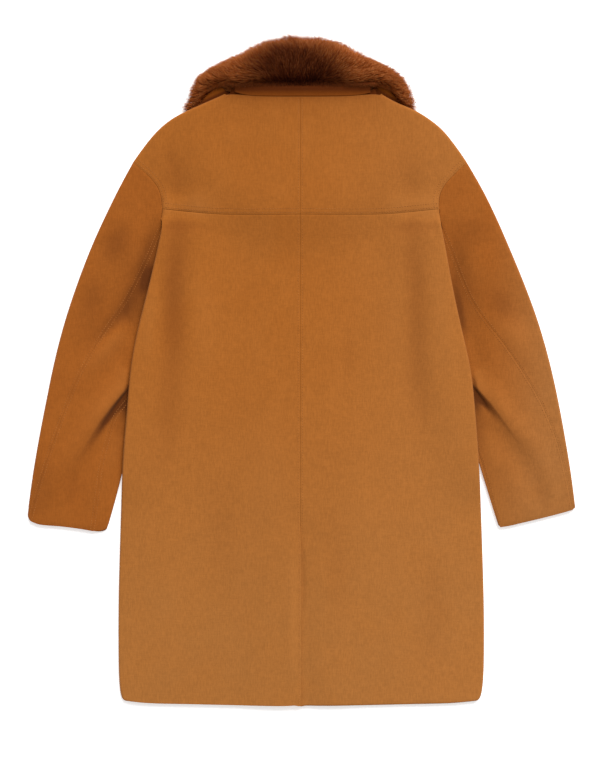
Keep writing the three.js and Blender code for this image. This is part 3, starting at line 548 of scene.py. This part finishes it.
def refineAlong(mesh, folds, widest=7):
    # Smaller faces where a fold is narrow
    bm = bmesh.new()
    bm.from_mesh(mesh)
    bm.faces.ensure_lookup_table()
    middles = np.array([face.calc_center_median().xy[:] for face in bm.faces])
    near = np.zeros(len(middles), dtype=bool)
    for fold in folds:
        width = min(fold["width"], fold.get("steep", 1000))
        if width <= widest:
            near |= foldReading(fold, middles)[0] < width * 0.0022  # 2.2 times the width
    close = [face for face, isNear in zip(bm.faces, near) if isNear and face.normal.z > 0]
    edges = dict.fromkeys(edge for face in close for edge in face.edges)
    if edges:
        bmesh.ops.subdivide_edges(bm, edges=list(edges), cuts=2, use_grid_fill=True)
        bmesh.ops.triangulate(bm, faces=[face for face in bm.faces if len(face.verts) > 4])
    bm.to_mesh(mesh)
    bm.free()


neckSeam = {"along": [(-113, -6), (-86, -1), (0, 0), (60, -1), (124, -5)]}

# Heights and reaches in metres. The other numbers are shares of the painted shadow colour.
creasesAndShade = {
    "deepest": 0.0055,  # a trough this deep takes the whole painted shadow
    "highest": 0.0060,  # a ridge this high takes the whole painted highlight
    "lowest": 0.0052,  # the troughs of a sleeve stop at this height
    "ventRise": 0.0006,  # the lower layer of the vent rises no more than this
    "bodyReach": 0.008,  # the ridges of a sleeve die out this near to the body
    "besideNeck": [(0.45, 0.006), (0.36, 0.034)],
    "undercollar": 0.3,
    "stand": 0.66,
    "standTop": 0.5,
}

# The two edges of the vent end level with the hem beside them
ventHem = {"at": coatPoint(-0.5, 970), "reach": 0.006, "rise": 0.018, "drop": 0.0022}


def creaseAndShadeSheets(sheets):
    for name, obj in sheets.items():
        mesh = obj.data
        places = vertexArray(mesh)
        normals = vertexArray(mesh, "normal")
        upward = smooth((normals[:, 2] - 0.25) / 0.5)
        flat = places[:, :2]
        heights = np.zeros(len(places))
        if name.startswith(("yoke", "back")):
            heights = foldSum(bodyFolds, flat, "lift") / 1000
            vent = foldSum(ventFolds, flat, "lift") / 1000
            heights += np.minimum(vent, creasesAndShade["ventRise"]) if name == "back_right" else vent
        if "sleeve" in name:
            side = name.rsplit("_", 1)[-1]
            sign = -1 if side == "left" else 1
            beyond = sign * flat[:, 0] - bodyEdge(sheets["back_" + side], sign, flat[:, 1])
            heights = foldSum(sleeveFolds, flat, "lift") / 1000
            fromBody = smooth(beyond / creasesAndShade["bodyReach"])
            heights = np.where(heights > 0, heights * fromBody, heights)
            deepest = np.minimum(creasesAndShade["lowest"] - places[:, 2], 0)
            heights = np.where(upward > 0, np.maximum(heights, deepest), 0)
        places[:, 2] += heights * upward
        if name.startswith("back"):
            fromVent = (flat[:, 0] - ventHem["at"][0]) / ventHem["reach"]
            aboveHem = (flat[:, 1] - ventHem["at"][1]) / ventHem["rise"]
            places[:, 1] -= ventHem["drop"] * np.exp(-fromVent ** 2) * smooth(1 - aboveHem)
        # Painted shade in each trough, the whole shadow at the deepest
        paintedShade = np.clip(-heights * upward / creasesAndShade["deepest"], 0, 1)
        # Painted shadow of the collar on the yoke below the neck seam
        if name.startswith("yoke"):
            fromNeck = foldReading(neckSeam, flat)[0]
            for shade, reach in creasesAndShade["besideNeck"]:
                paintedShade += shade * np.exp(-fromNeck / reach)
        # Painted shade beside the body's edge and in the folds of the sleeve
        if "sleeve" in name:
            paintedShade += foldSum(sleeveShades, flat, "shade")
        # Painted shade in the troughs of the back
        if name.startswith(("yoke", "back")):
            paintedShade += foldSum(bodyShades, flat, "shade")
        # Painted shade under the fur and along the edge of the yoke
        if name.startswith("undercollar"):
            paintedShade = creasesAndShade["undercollar"] + foldSum(collarShades, flat, "shade")
        if name == "collar_stand":
            # Painted shade, darker towards the fur above it
            upStand = (flat[:, 1] - neckToMiddle / 1000 - 0.002) / 0.014
            paintedShade = creasesAndShade["stand"] + creasesAndShade["standTop"] * smooth(upStand)
        addAttribute(mesh, "paintedShade", np.clip(paintedShade, 0, 1))
        # Painted highlight, paler the higher the ridge
        addAttribute(mesh, "paintedHighlight", np.clip(heights * upward / creasesAndShade["highest"], 0, 1))
        setVertices(mesh, places)


def makeSheets():
    sheets = {}
    for name, settings in panels.items():
        obj = makeObject(name + "_cloth", outerSheet(name, settings["facing"]))
        finer = obj.modifiers.new("finer", "SUBSURF")
        finer.levels = finer.render_levels = cloth["levels"]
        finer.boundary_smooth = "PRESERVE_CORNERS"
        sheets[name] = applied(obj)
        if name.startswith("back"):
            refineAlong(obj.data, ventFolds, widest=12)
        if "sleeve" in name:
            refineAlong(obj.data, sleeveFolds)
    creaseAndShadeSheets(sheets)
    closeSeams(sheets)
    return sheets


closedSeams = [
    (piece + side, "upper_sleeve" + side)
    for side in ("_left", "_right") for piece in ("yoke", "back", "under_sleeve")]
openSeams = [
    ("yoke_left", "back_left"), ("yoke_right", "back_right"),
    ("yoke_left", "yoke_right"), ("back_left", "back_right")]
neckSeams = [("collar_stand", "yoke_left"), ("collar_stand", "yoke_right")]
seamLine = {
    "reach": 0.0035,  # edges nearer than this belong to one seam
    "closing": 0.36,  # how far each edge moves towards the other
    "pitch": 0.003,
    "widest": 0.004,
    "thickness": 0.0004,
    "width": 0.0036,
    "depth": 0.0010,
    "neckWidth": 0.010,
    "neckDepth": 0.0030,
    "neckPast": 0.012,
    "cornerPast": 0.014,
}


def meshTree(mesh):
    return BVHTree.FromPolygons([v.co for v in mesh.vertices], [p.vertices for p in mesh.polygons])


def edgeVertices(mesh):
    uses = Counter(key for polygon in mesh.polygons for key in polygon.edge_keys)
    return {i for key, count in uses.items() if count == 1 for i in key}


def closeSeams(sheets):
    # Sewn edges meet their neighbours
    for first, second in closedSeams:
        moves = []
        for one, other in ((first, second), (second, first)):
            mesh = sheets[one].data
            tree = meshTree(sheets[other].data)
            for i in edgeVertices(mesh):
                vertex = mesh.vertices[i]
                near = tree.find_nearest(vertex.co, seamLine["reach"])[0]
                if near is not None and vertex.normal.z > 0.3:
                    moves.append((vertex, vertex.co + (near - vertex.co) * seamLine["closing"]))
        for vertex, place in moves:
            vertex.co = place


def pastEnd(line, past):
    step = line[-1] - line[-2]
    return np.concatenate([line, [line[-1] + step / np.linalg.norm(step) * past]])


def makeSeamLines(sheets):
    # The bottom of each seam, a narrow strip between the two edges that takes the whole painted shade
    points, faces = [], []
    for owner, neighbour in closedSeams + openSeams + neckSeams:
        isNeck = owner == "collar_stand"
        width = seamLine["neckWidth" if isNeck else "width"]
        depth = seamLine["neckDepth" if isNeck else "depth"]
        tree = meshTree(sheets[neighbour].data)
        for run in seamRuns(sheets, owner, neighbour):
            line = evenly(np.array(run), seamLine["pitch"])
            if len(line) < 3:
                continue
            if isNeck:
                line = pastEnd(pastEnd(line, seamLine["neckPast"])[::-1], seamLine["neckPast"])
            if owner.startswith("yoke") and "sleeve" in neighbour:
                # It runs on past the corner of the yoke
                hemward = line if line[0][1] > line[-1][1] else line[::-1]
                line = pastEnd(hemward, seamLine["cornerPast"])
            along = np.gradient(line, axis=0)
            for number, (point, direction) in enumerate(zip(line, along)):
                near = tree.find_nearest(Vector(point))[0]
                middle = Vector(point)
                if (near - middle).length < seamLine["widest"]:
                    middle = (middle + near) / 2
                middle.z = min(point[2], near.z) - depth
                across = Vector((-direction[1], direction[0], 0)).normalized() * width / 2
                points += [middle - across, middle + across]
                if number:
                    end = len(points)
                    faces.append((end - 4, end - 3, end - 1, end - 2))
    mesh = bpy.data.meshes.new("seam_lines")
    mesh.from_pydata([place[:] for place in points], [], faces)
    mesh.update()
    # The strip takes the whole painted shade
    addAttribute(mesh, "paintedShade", np.ones(len(points)))
    obj = makeObject("seam_lines", mesh)
    wall = obj.modifiers.new("wall", "SOLIDIFY")
    wall.thickness = seamLine["thickness"]
    wall.offset = 0
    applied(obj)
    obj.data.materials.append(collarSuede)
    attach(obj, "root")


def finishSheets(sheets):
    for name, obj in sheets.items():
        obj.data.shade_smooth()
        wall = obj.modifiers.new("wall", "SOLIDIFY")
        wall.thickness = cloth["thickness"]
        wall.offset = -1
        wall.use_even_offset = False
        rounded = obj.modifiers.new("rounded", "BEVEL")
        rounded.width = cloth["edgeRound"]
        rounded.segments = 2
        rounded.limit_method = "ANGLE"
        rounded.angle_limit = cloth["sharpest"]
        isCollar = "collar" in name
        obj.data.materials.clear()
        sleeveSuede = sleeveSuedeLeft if name.endswith("left") else sleeveSuedeRight
        obj.data.materials.append(
            collarSuede if isCollar else sleeveSuede if "sleeve" in name else suede)
        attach(obj, "root")
        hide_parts(name)


print("cloth")
sheets = makeSheets()


# Topstitching on both sides of the seams that show

stitching = {
    "length": 0.0030,
    "pitch": 0.0042,
    "width": 0.0008,
    "height": 0.00064,
    "rise": 0.0001,  # how far the middle of a stitch lies above the cloth
    "sampling": 0.0014,
    "search": 0.004,
    "slack": 0.0006,  # a spot further than this from the cloth gets no stitch
}
# The piece that is stitched, the one beside it, and how far from the edge each row lies
stitchedSeams = [
    (piece + side, neighbour + other, rows)
    for side, opposite in (("_left", "_right"), ("_right", "_left"))
    for piece, neighbour, other, rows in (
        ("yoke", "yoke", opposite, (0.0030,)),
        ("back", "back", opposite, (0.0032,)),
        ("yoke", "back", side, (0.0030, 0.0092)),
        ("yoke", "upper_sleeve", side, (0.0030, 0.0085)),
        ("back", "upper_sleeve", side, (0.0030, 0.0085)),
        ("upper_sleeve", "under_sleeve", side, (0.0030,)),
        ("under_sleeve", "upper_sleeve", side, (0.0030,)),
    )]


def boundaryLoops(mesh):
    bm = bmesh.new()
    bm.from_mesh(mesh)
    loops = []
    left = dict.fromkeys(e for e in bm.edges if e.is_boundary)
    while left:
        edge = next(iter(left))
        del left[edge]
        loop = [edge.verts[0], edge.verts[1]]
        while True:
            following = next((e for e in loop[-1].link_edges if e in left), None)
            if following is None:
                break
            del left[following]
            loop.append(following.other_vert(loop[-1]))
        loops.append([(v.co.copy(), v.normal.copy()) for v in loop[:-1]])
    bm.free()
    return loops


def seamRuns(sheets, owner, neighbour):
    # The stretches of the owner's edge that lie beside the neighbour and face up
    other = meshTree(sheets[neighbour].data)
    runs = []
    for loop in boundaryLoops(sheets[owner].data):
        beside = [
            normal.z > 0.35 and other.find_nearest(place, seamLine["reach"])[0] is not None
            for place, normal in loop]
        first = beside.index(False) if False in beside else 0
        run = []
        for i in range(first, first + len(loop)):
            if beside[i % len(loop)]:
                run.append(loop[i % len(loop)][0])
            else:
                runs.append(run)
                run = []
        runs.append(run)
    return [run for run in runs if len(run) > 3]


def evenly(points, pitch):
    lengths = np.concatenate([[0], np.cumsum(np.linalg.norm(np.diff(points, axis=0), axis=1))])
    steps = np.arange(pitch, lengths[-1] - pitch / 2, pitch)
    return np.stack([np.interp(steps, lengths, points[:, axis]) for axis in range(3)], axis=1)


def stitchPlaces(sheets):
    places = []
    for owner, neighbour, offsets in stitchedSeams:
        mesh = sheets[owner].data
        tree = meshTree(mesh)
        for run in seamRuns(sheets, owner, neighbour):
            points = evenly(np.array(run), stitching["sampling"])
            if len(points) < 6:
                continue
            along = unit(np.gradient(points, axis=0))
            for offset in offsets:
                line = []
                for point, direction in zip(points, along):
                    square = Vector((-direction[1], direction[0], 0)).normalized() * offset
                    # The cloth lies on one side of its edge only
                    both = [Vector(point) + square, Vector(point) - square]
                    found = [tree.find_nearest(spot, stitching["search"]) for spot in both]
                    gaps = [
                        (hit[0].xy - spot.xy).length if hit[0] is not None else 1.0
                        for hit, spot in zip(found, both)]
                    pick = 0 if gaps[0] < gaps[1] else 1
                    if gaps[pick] < stitching["slack"]:
                        line.append(both[pick].xy[:] + (found[pick][0].z,))
                if len(line) > 4:
                    places.append((tree, evenly(np.array(line), stitching["pitch"])))
    return places


def joinedMesh(name, points, faces):
    # One mesh out of many small ones that have the same faces
    index = (np.arange(len(points)) * points.shape[1])[:, None, None] + faces[None]
    mesh = bpy.data.meshes.new(name)
    mesh.from_pydata(points.reshape(-1, 3).tolist(), [], index.reshape(-1, faces.shape[1]).tolist())
    mesh.update()
    return mesh


def stitchTemplate():
    bm = bmesh.new()
    bmesh.ops.create_icosphere(bm, subdivisions=1, radius=0.5)
    size = (stitching["length"], stitching["width"], stitching["height"])
    bmesh.ops.scale(bm, vec=size, verts=bm.verts)
    bmesh.ops.triangulate(bm, faces=bm.faces)
    points = np.array([v.co[:] for v in bm.verts])
    faces = np.array([[v.index for v in f.verts] for f in bm.faces])
    bm.free()
    return points, faces


def makeStitches(sheets):
    template, faces = stitchTemplate()
    transforms = []
    for tree, points in stitchPlaces(sheets):
        if len(points) < 3:
            continue
        along = np.gradient(points, axis=0)
        for point, direction in zip(points, along):
            hit, normal = tree.find_nearest(Vector(point), stitching["search"])[:2]
            if hit is None:
                continue
            if normal.z < 0:
                normal = -normal
            forward = (Vector(direction) - normal * Vector(direction).dot(normal)).normalized()
            across = normal.cross(forward)
            middle = hit + normal * stitching["rise"]
            transforms.append([[forward[i], across[i], normal[i], middle[i]] for i in range(3)])
    transforms = np.array(transforms)
    copies = np.einsum("nij,vj->nvi", transforms[:, :, :3], template) + transforms[:, None, :, 3]
    mesh = joinedMesh("topstitching", copies, faces)
    mesh.shade_smooth()
    mesh.materials.append(thread)
    obj = makeObject("topstitching", mesh)
    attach(obj, "root")
    print("stitches", len(transforms))


print("stitching")
makeStitches(sheets)
makeSeamLines(sheets)
finishSheets(sheets)


# Fur collar: a dense pile that keeps the shape of the collar, and hairs over it

furCollar = {
    "voxel": 0.004,
    "inset": 0.0044,  # the pile lies this far inside the shape of the collar
    "hairs": 25000,
    "perPiece": 9000,
    "showsAbove": 0.016,
    "neckReach": 0.02,
    "hiddenShare": 0.16,  # how dense the hair is where little of it shows
    "shortest": 0.009,
    "longest": 0.0175,
    "thickness": 0.0006,
    "steps": 5,
    "taper": np.array([0.7, 1.0, 0.9, 0.6]),  # the width at each step but the last
    "centre": (-4, 26),  # the hair flows away from here
    "darkest": (-6, -34),
    "darkReach": (0.056, 0.037),
    "tuft": (-5, -86),  # longer hair where the two halves of the collar meet
    "tuftReach": 0.004,
    "crest": 0.046,  # hair above this height is laid half as high
    "seed": 7,
}
fringe = {
    "hairs": 1800,
    "ends": (-112, 118),
    "edge": -22,
    "shortest": 0.004,
    "longest": 0.0085,
    "standHeight": 0.0307,
    "standTop": -0.019,
    "slope": 0.3,
    "sidesFrom": 70,
    "sideSlope": 0.00004,
}


def furMaterials():
    pile, tree, shader = newMaterial("furPile", 0.05, 0.9)
    place = addPlace(tree)
    tufts = addNoise(tree, place, 260, 4, 0.65, 0.8)
    clouds = addNoise(tree, place, 40, 3)
    base = addMix(tree, addMap(tree, tufts, 0.35, 0.7), (0.008, 0.0014, 0.0005), (0.045, 0.0090, 0.0022))
    base = addTint(tree, base, addMap(tree, clouds, 0.4, 0.7), 0.4, (0.075, 0.017, 0.0045))
    tree.links.new(base, shader.inputs["Base Color"])
    addBump(tree, shader, tufts, 0.8, 0.002)

    # Dark at the root, and paler towards the tip and away from the neck
    hair, tree, shader = newMaterial("furHair", 0.04, 0.6)
    along = addReading(tree, "along")
    tone = addReading(tree, "tone")
    streak = addMap(tree, addNoise(tree, addPlace(tree), 120, 2), 0.35, 0.65)
    root = addMix(tree, streak, (0.010, 0.0016, 0.0006), (0.024, 0.0042, 0.0012))
    middle = addMix(tree, tone, (0.036, 0.0050, 0.0012), (0.345, 0.0735, 0.0112))
    tip = addMix(tree, tone, (0.090, 0.0150, 0.0030), (0.560, 0.2000, 0.0580))
    root = addMix(tree, tone, root, (0.190, 0.0360, 0.0060))
    colour = addMix(tree, addMap(tree, along, 0.0, 0.5), root, middle)
    colour = addMix(tree, addMap(tree, along, 0.45, 1.0), colour, tip)
    tree.links.new(colour, shader.inputs["Base Color"])
    return pile, hair


furPile, furHair = furMaterials()


def makePile():
    obj = makeObject("fur_pile", meshFrom(weldedNode("fur_collar"), "fur_pile"))
    remesh = obj.modifiers.new("even", "REMESH")
    remesh.mode = "VOXEL"
    remesh.voxel_size = furCollar["voxel"]
    remesh.use_smooth_shade = True
    relax = obj.modifiers.new("relax", "SMOOTH")
    relax.factor = 0.5
    relax.iterations = 3
    return applied(obj)


def insetBy(normals):
    # The pile keeps its edge along the stand and the shoulders
    return furCollar["inset"] * (0.2 + 0.8 * smooth((normals[:, 1] + 0.6) / 0.8))


def hairRoots(mesh, count, rng):
    mesh.calc_loop_triangles()
    places = vertexArray(mesh)
    normals = vertexArray(mesh, "normal")
    triangles = np.empty(len(mesh.loop_triangles) * 3, dtype=np.int64)
    mesh.loop_triangles.foreach_get("vertices", triangles)
    triangles = triangles.reshape(-1, 3)
    a, b, c = (places[triangles[:, i]] for i in range(3))
    facing = np.cross(b - a, c - a)
    area = np.linalg.norm(facing, axis=1) / 2
    up = facing[:, 2] / np.maximum(2 * area, 1e-12)
    middle = (a + b + c) / 3
    high = middle[:, 2] > furCollar["showsAbove"]
    behindNeck = middle[:, 1] > neckToMiddle / 1000 - furCollar["neckReach"]
    weights = area * np.where((up > -0.5) & (high | behindNeck), 1.0, furCollar["hiddenShare"])
    pick = rng.choice(len(area), count, p=weights / weights.sum())
    first, second = rng.random(count), rng.random(count)
    over = first + second > 1
    first, second = np.where(over, 1 - first, first), np.where(over, 1 - second, second)
    shares = np.stack([1 - first - second, first, second], axis=1)[:, :, None]
    corners = triangles[pick]
    return np.sum(places[corners] * shares, axis=1), unit(np.sum(normals[corners] * shares, axis=1))


def waves(places, scale, seed):
    # A smooth random field for the lie of the hair, the same on every run
    rng = np.random.default_rng(seed)
    total = np.zeros(len(places))
    for _ in range(5):
        direction = rng.normal(size=3)
        direction /= np.linalg.norm(direction)
        total += np.sin(places @ direction * scale * rng.uniform(0.6, 1.6) + rng.uniform(0, 6.3))
    return total / 5


def makeHairs(pile):
    rng = np.random.default_rng(furCollar["seed"])
    roots, normals = hairRoots(pile.data, furCollar["hairs"], rng)
    count = len(roots)
    outward = unit((roots - coatPoint(*furCollar["centre"])) * (1, 1, 0))
    turn = 0.55 * waves(roots, 90, 3) + 0.3 * waves(roots, 260, 4) + rng.normal(0, 0.16, count)
    flow = np.stack([
        outward[:, 0] * np.cos(turn) - outward[:, 1] * np.sin(turn),
        outward[:, 0] * np.sin(turn) + outward[:, 1] * np.cos(turn),
        np.zeros(count)], axis=1)
    # Along the stand and the shoulders the hair turns out over the suede
    hanging = smooth((-normals[:, 1] - 0.72) / 0.22)
    rimward = unit(normals * (1, 1, 0) + (0, -0.2, 0))
    flow = unit(flow * (1 - hanging)[:, None] + rimward * hanging[:, None])
    flow = unit(flow - normals * np.sum(flow * normals, axis=1)[:, None] * 0.9)
    length = rng.uniform(furCollar["shortest"], furCollar["longest"], count) * (1 - 0.55 * hanging)
    length *= np.where(rng.random(count) < 0.05, 1.45, 1.0)
    fromTuft = (roots - coatPoint(*furCollar["tuft"]))[:, :2]
    length *= 1 + 1.3 * np.exp(-np.sum(fromTuft ** 2, axis=1) / furCollar["tuftReach"] ** 2)
    stand = 0.55 + 0.25 * waves(roots, 150, 5) + rng.normal(0, 0.12, count)
    bend = rng.normal(0, 0.12, (count, 3))
    steps = furCollar["steps"]
    lines = np.empty((count, steps, 3))
    spot = roots - normals * insetBy(normals)[:, None]
    for i, along in enumerate(np.linspace(0, 1, steps)):
        lines[:, i] = spot
        rise = np.clip(stand * (1 - 1.25 * along), -0.5, 1)[:, None]
        heading = unit(flow + normals * rise + bend * along)
        spot = spot + heading * (length / (steps - 1))[:, None]
    lines[:, :, 2] = np.maximum(lines[:, :, 2], 0.0008)
    above = np.maximum(lines[:, :, 2] - furCollar["crest"], 0)
    lines[:, :, 2] -= above * 0.5
    fromDarkest = (roots - coatPoint(*furCollar["darkest"]))[:, :2] / furCollar["darkReach"]
    tone = 0.06 + 0.98 * smooth((np.hypot(*fromDarkest.T) - 0.55) / 1.4) + 0.2 * waves(roots, 110, 6)
    tone += rng.normal(0, 0.13, count)
    lowerHairs = fringeLines(pile, rng)
    lowerTone = rng.normal(0.06, 0.08, len(lowerHairs)) + 2.5 * np.abs(lowerHairs[:, 0, 0])
    lines = np.concatenate([lines, lowerHairs])
    tone = np.clip(np.concatenate([tone, lowerTone]), 0, 1)
    perPiece = furCollar["perPiece"]
    for number, start in enumerate(range(0, len(lines), perPiece)):
        part = slice(start, start + perPiece)
        hairPiece("fur_hairs_%d" % (number + 1), lines[part], tone[part], rng)


def fringeLines(pile, rng):
    # Short hair along the lower edge, lying over the top of the stand
    tree = meshTree(pile.data)
    steps = furCollar["steps"]
    lines = []
    for _ in range(fringe["hairs"]):
        out = rng.uniform(*fringe["ends"])
        root = tree.ray_cast(coatPoint(out, rng.normal(fringe["edge"], 1.6), 0.1), (0, 0, -1))[0]
        if root is None:
            continue
        length = rng.uniform(fringe["shortest"], fringe["longest"])
        lean = out / 400 + rng.normal(0, 0.3)
        spot = root.copy()
        line = []
        for i in range(steps):
            down = max(neckToMiddle / 1000 - spot.y - fringe["standTop"], 0)
            aside = max(abs(out) - fringe["sidesFrom"], 0)
            ground = fringe["standHeight"] - fringe["slope"] * down - fringe["sideSlope"] * aside
            line.append((spot.x, spot.y, max(spot.z, ground) if i else spot.z - 0.002))
            heading = Vector((lean, -1, -0.35)).normalized()
            spot = spot + heading * (length / (steps - 1))
        lines.append(line)
    return np.array(lines)


def hairPiece(name, lines, tone, rng):
    # Each hair is a three-sided blade that narrows to its tip
    count, steps, _ = lines.shape
    along = unit(lines[:, -1] - lines[:, 0])
    side = unit(np.cross(along, rng.normal(size=(count, 3))))
    other = np.cross(along, side)
    width = furCollar["taper"] * furCollar["thickness"] / 2
    corners = [side, -0.5 * side + 0.866 * other, -0.5 * side - 0.866 * other]
    rings = [lines[:, i, None] + np.stack(corners, axis=1) * width[i] for i in range(steps - 1)]
    points = np.concatenate([np.stack(rings, axis=1).reshape(count, -1, 3), lines[:, -1:]], axis=1)
    faces = []
    for i in range(steps - 2):
        for j in range(3):
            k = (j + 1) % 3
            faces += [(3 * i + j, 3 * i + k, 3 * i + 3 + k), (3 * i + j, 3 * i + 3 + k, 3 * i + 3 + j)]
    last = 3 * (steps - 2)
    faces += [(last + j, last + (j + 1) % 3, last + 3) for j in range(3)]
    mesh = joinedMesh(name, points, np.array(faces))
    share = np.concatenate([np.repeat(np.arange(steps - 1) / (steps - 1), 3), [1.0]])
    addAttribute(mesh, "along", np.tile(share, count))
    addAttribute(mesh, "tone", np.repeat(tone, points.shape[1]))
    mesh.materials.append(furHair)
    mesh.shade_smooth()
    obj = makeObject(name, mesh)
    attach(obj, "root")


print("fur")
pile = makePile()
makeHairs(pile)
pileNormals = vertexArray(pile.data, "normal")
pilePlaces = vertexArray(pile.data) - pileNormals * insetBy(pileNormals)[:, None]
pilePlaces[:, 2] = np.maximum(pilePlaces[:, 2], 0.0)
setVertices(pile.data, pilePlaces)
pile.data.materials.clear()
pile.data.materials.append(furPile)
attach(pile, "root")
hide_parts("fur_collar")


# Stage

stage = {
    "key": 3.7,
    "keySoftness": math.radians(42),
    "keyFrom": (0.42, 1.15, 1.0),
    "sky": 0.5,
    "floorGlow": 0.42,
    "lens": 100,
    "cameraAt": (-0.0024, -0.0168, 3.41),
}


def makeFloor():
    bm = bmesh.new()
    bmesh.ops.create_grid(bm, x_segments=1, y_segments=1, size=6)
    bmesh.ops.translate(bm, vec=(0, 0, -0.0002), verts=bm.verts)
    floor = makeObject("floor", meshFrom(bm, "floor"))
    material, _, shader = newMaterial("paleFloor", 0.0)
    shader.inputs["Base Color"].default_value = (0.95, 0.95, 0.95, 1)
    shader.inputs["Emission Color"].default_value = (1, 1, 1, 1)
    shader.inputs["Emission Strength"].default_value = stage["floorGlow"]
    floor.data.materials.append(material)


def addKey():
    data = bpy.data.lights.new("key", "SUN")
    data.energy = stage["key"]
    data.angle = stage["keySoftness"]
    light = makeObject("key", data)
    light.location = Vector(stage["keyFrom"]) * 2
    light.rotation_mode = "QUATERNION"
    light.rotation_quaternion = (-Vector(stage["keyFrom"])).to_track_quat("-Z", "Y")


def makeStage():
    makeFloor()
    addKey()
    world = bpy.data.worlds.new("softRoom")
    world.use_nodes = True
    background = world.node_tree.nodes["Background"]
    background.inputs["Color"].default_value = (1, 1, 1, 1)
    background.inputs["Strength"].default_value = stage["sky"]
    bpy.context.scene.world = world
    bpy.context.scene.view_settings.view_transform = "Standard"


def makeCamera():
    data = bpy.data.cameras.new("camera")
    data.lens = stage["lens"]
    data.sensor_width = 36
    camera = makeObject("camera", data)
    camera.location = stage["cameraAt"]
    bpy.context.scene.camera = camera


def triangleCount():
    depsgraph = bpy.context.evaluated_depsgraph_get()
    meshes = [o.evaluated_get(depsgraph).data for o in bpy.context.scene.objects if o.type == "MESH"]
    return sum(len(polygon.vertices) - 2 for mesh in meshes for polygon in mesh.polygons)


print("stage")
makeStage()
makeCamera()

print("triangles", triangleCount())
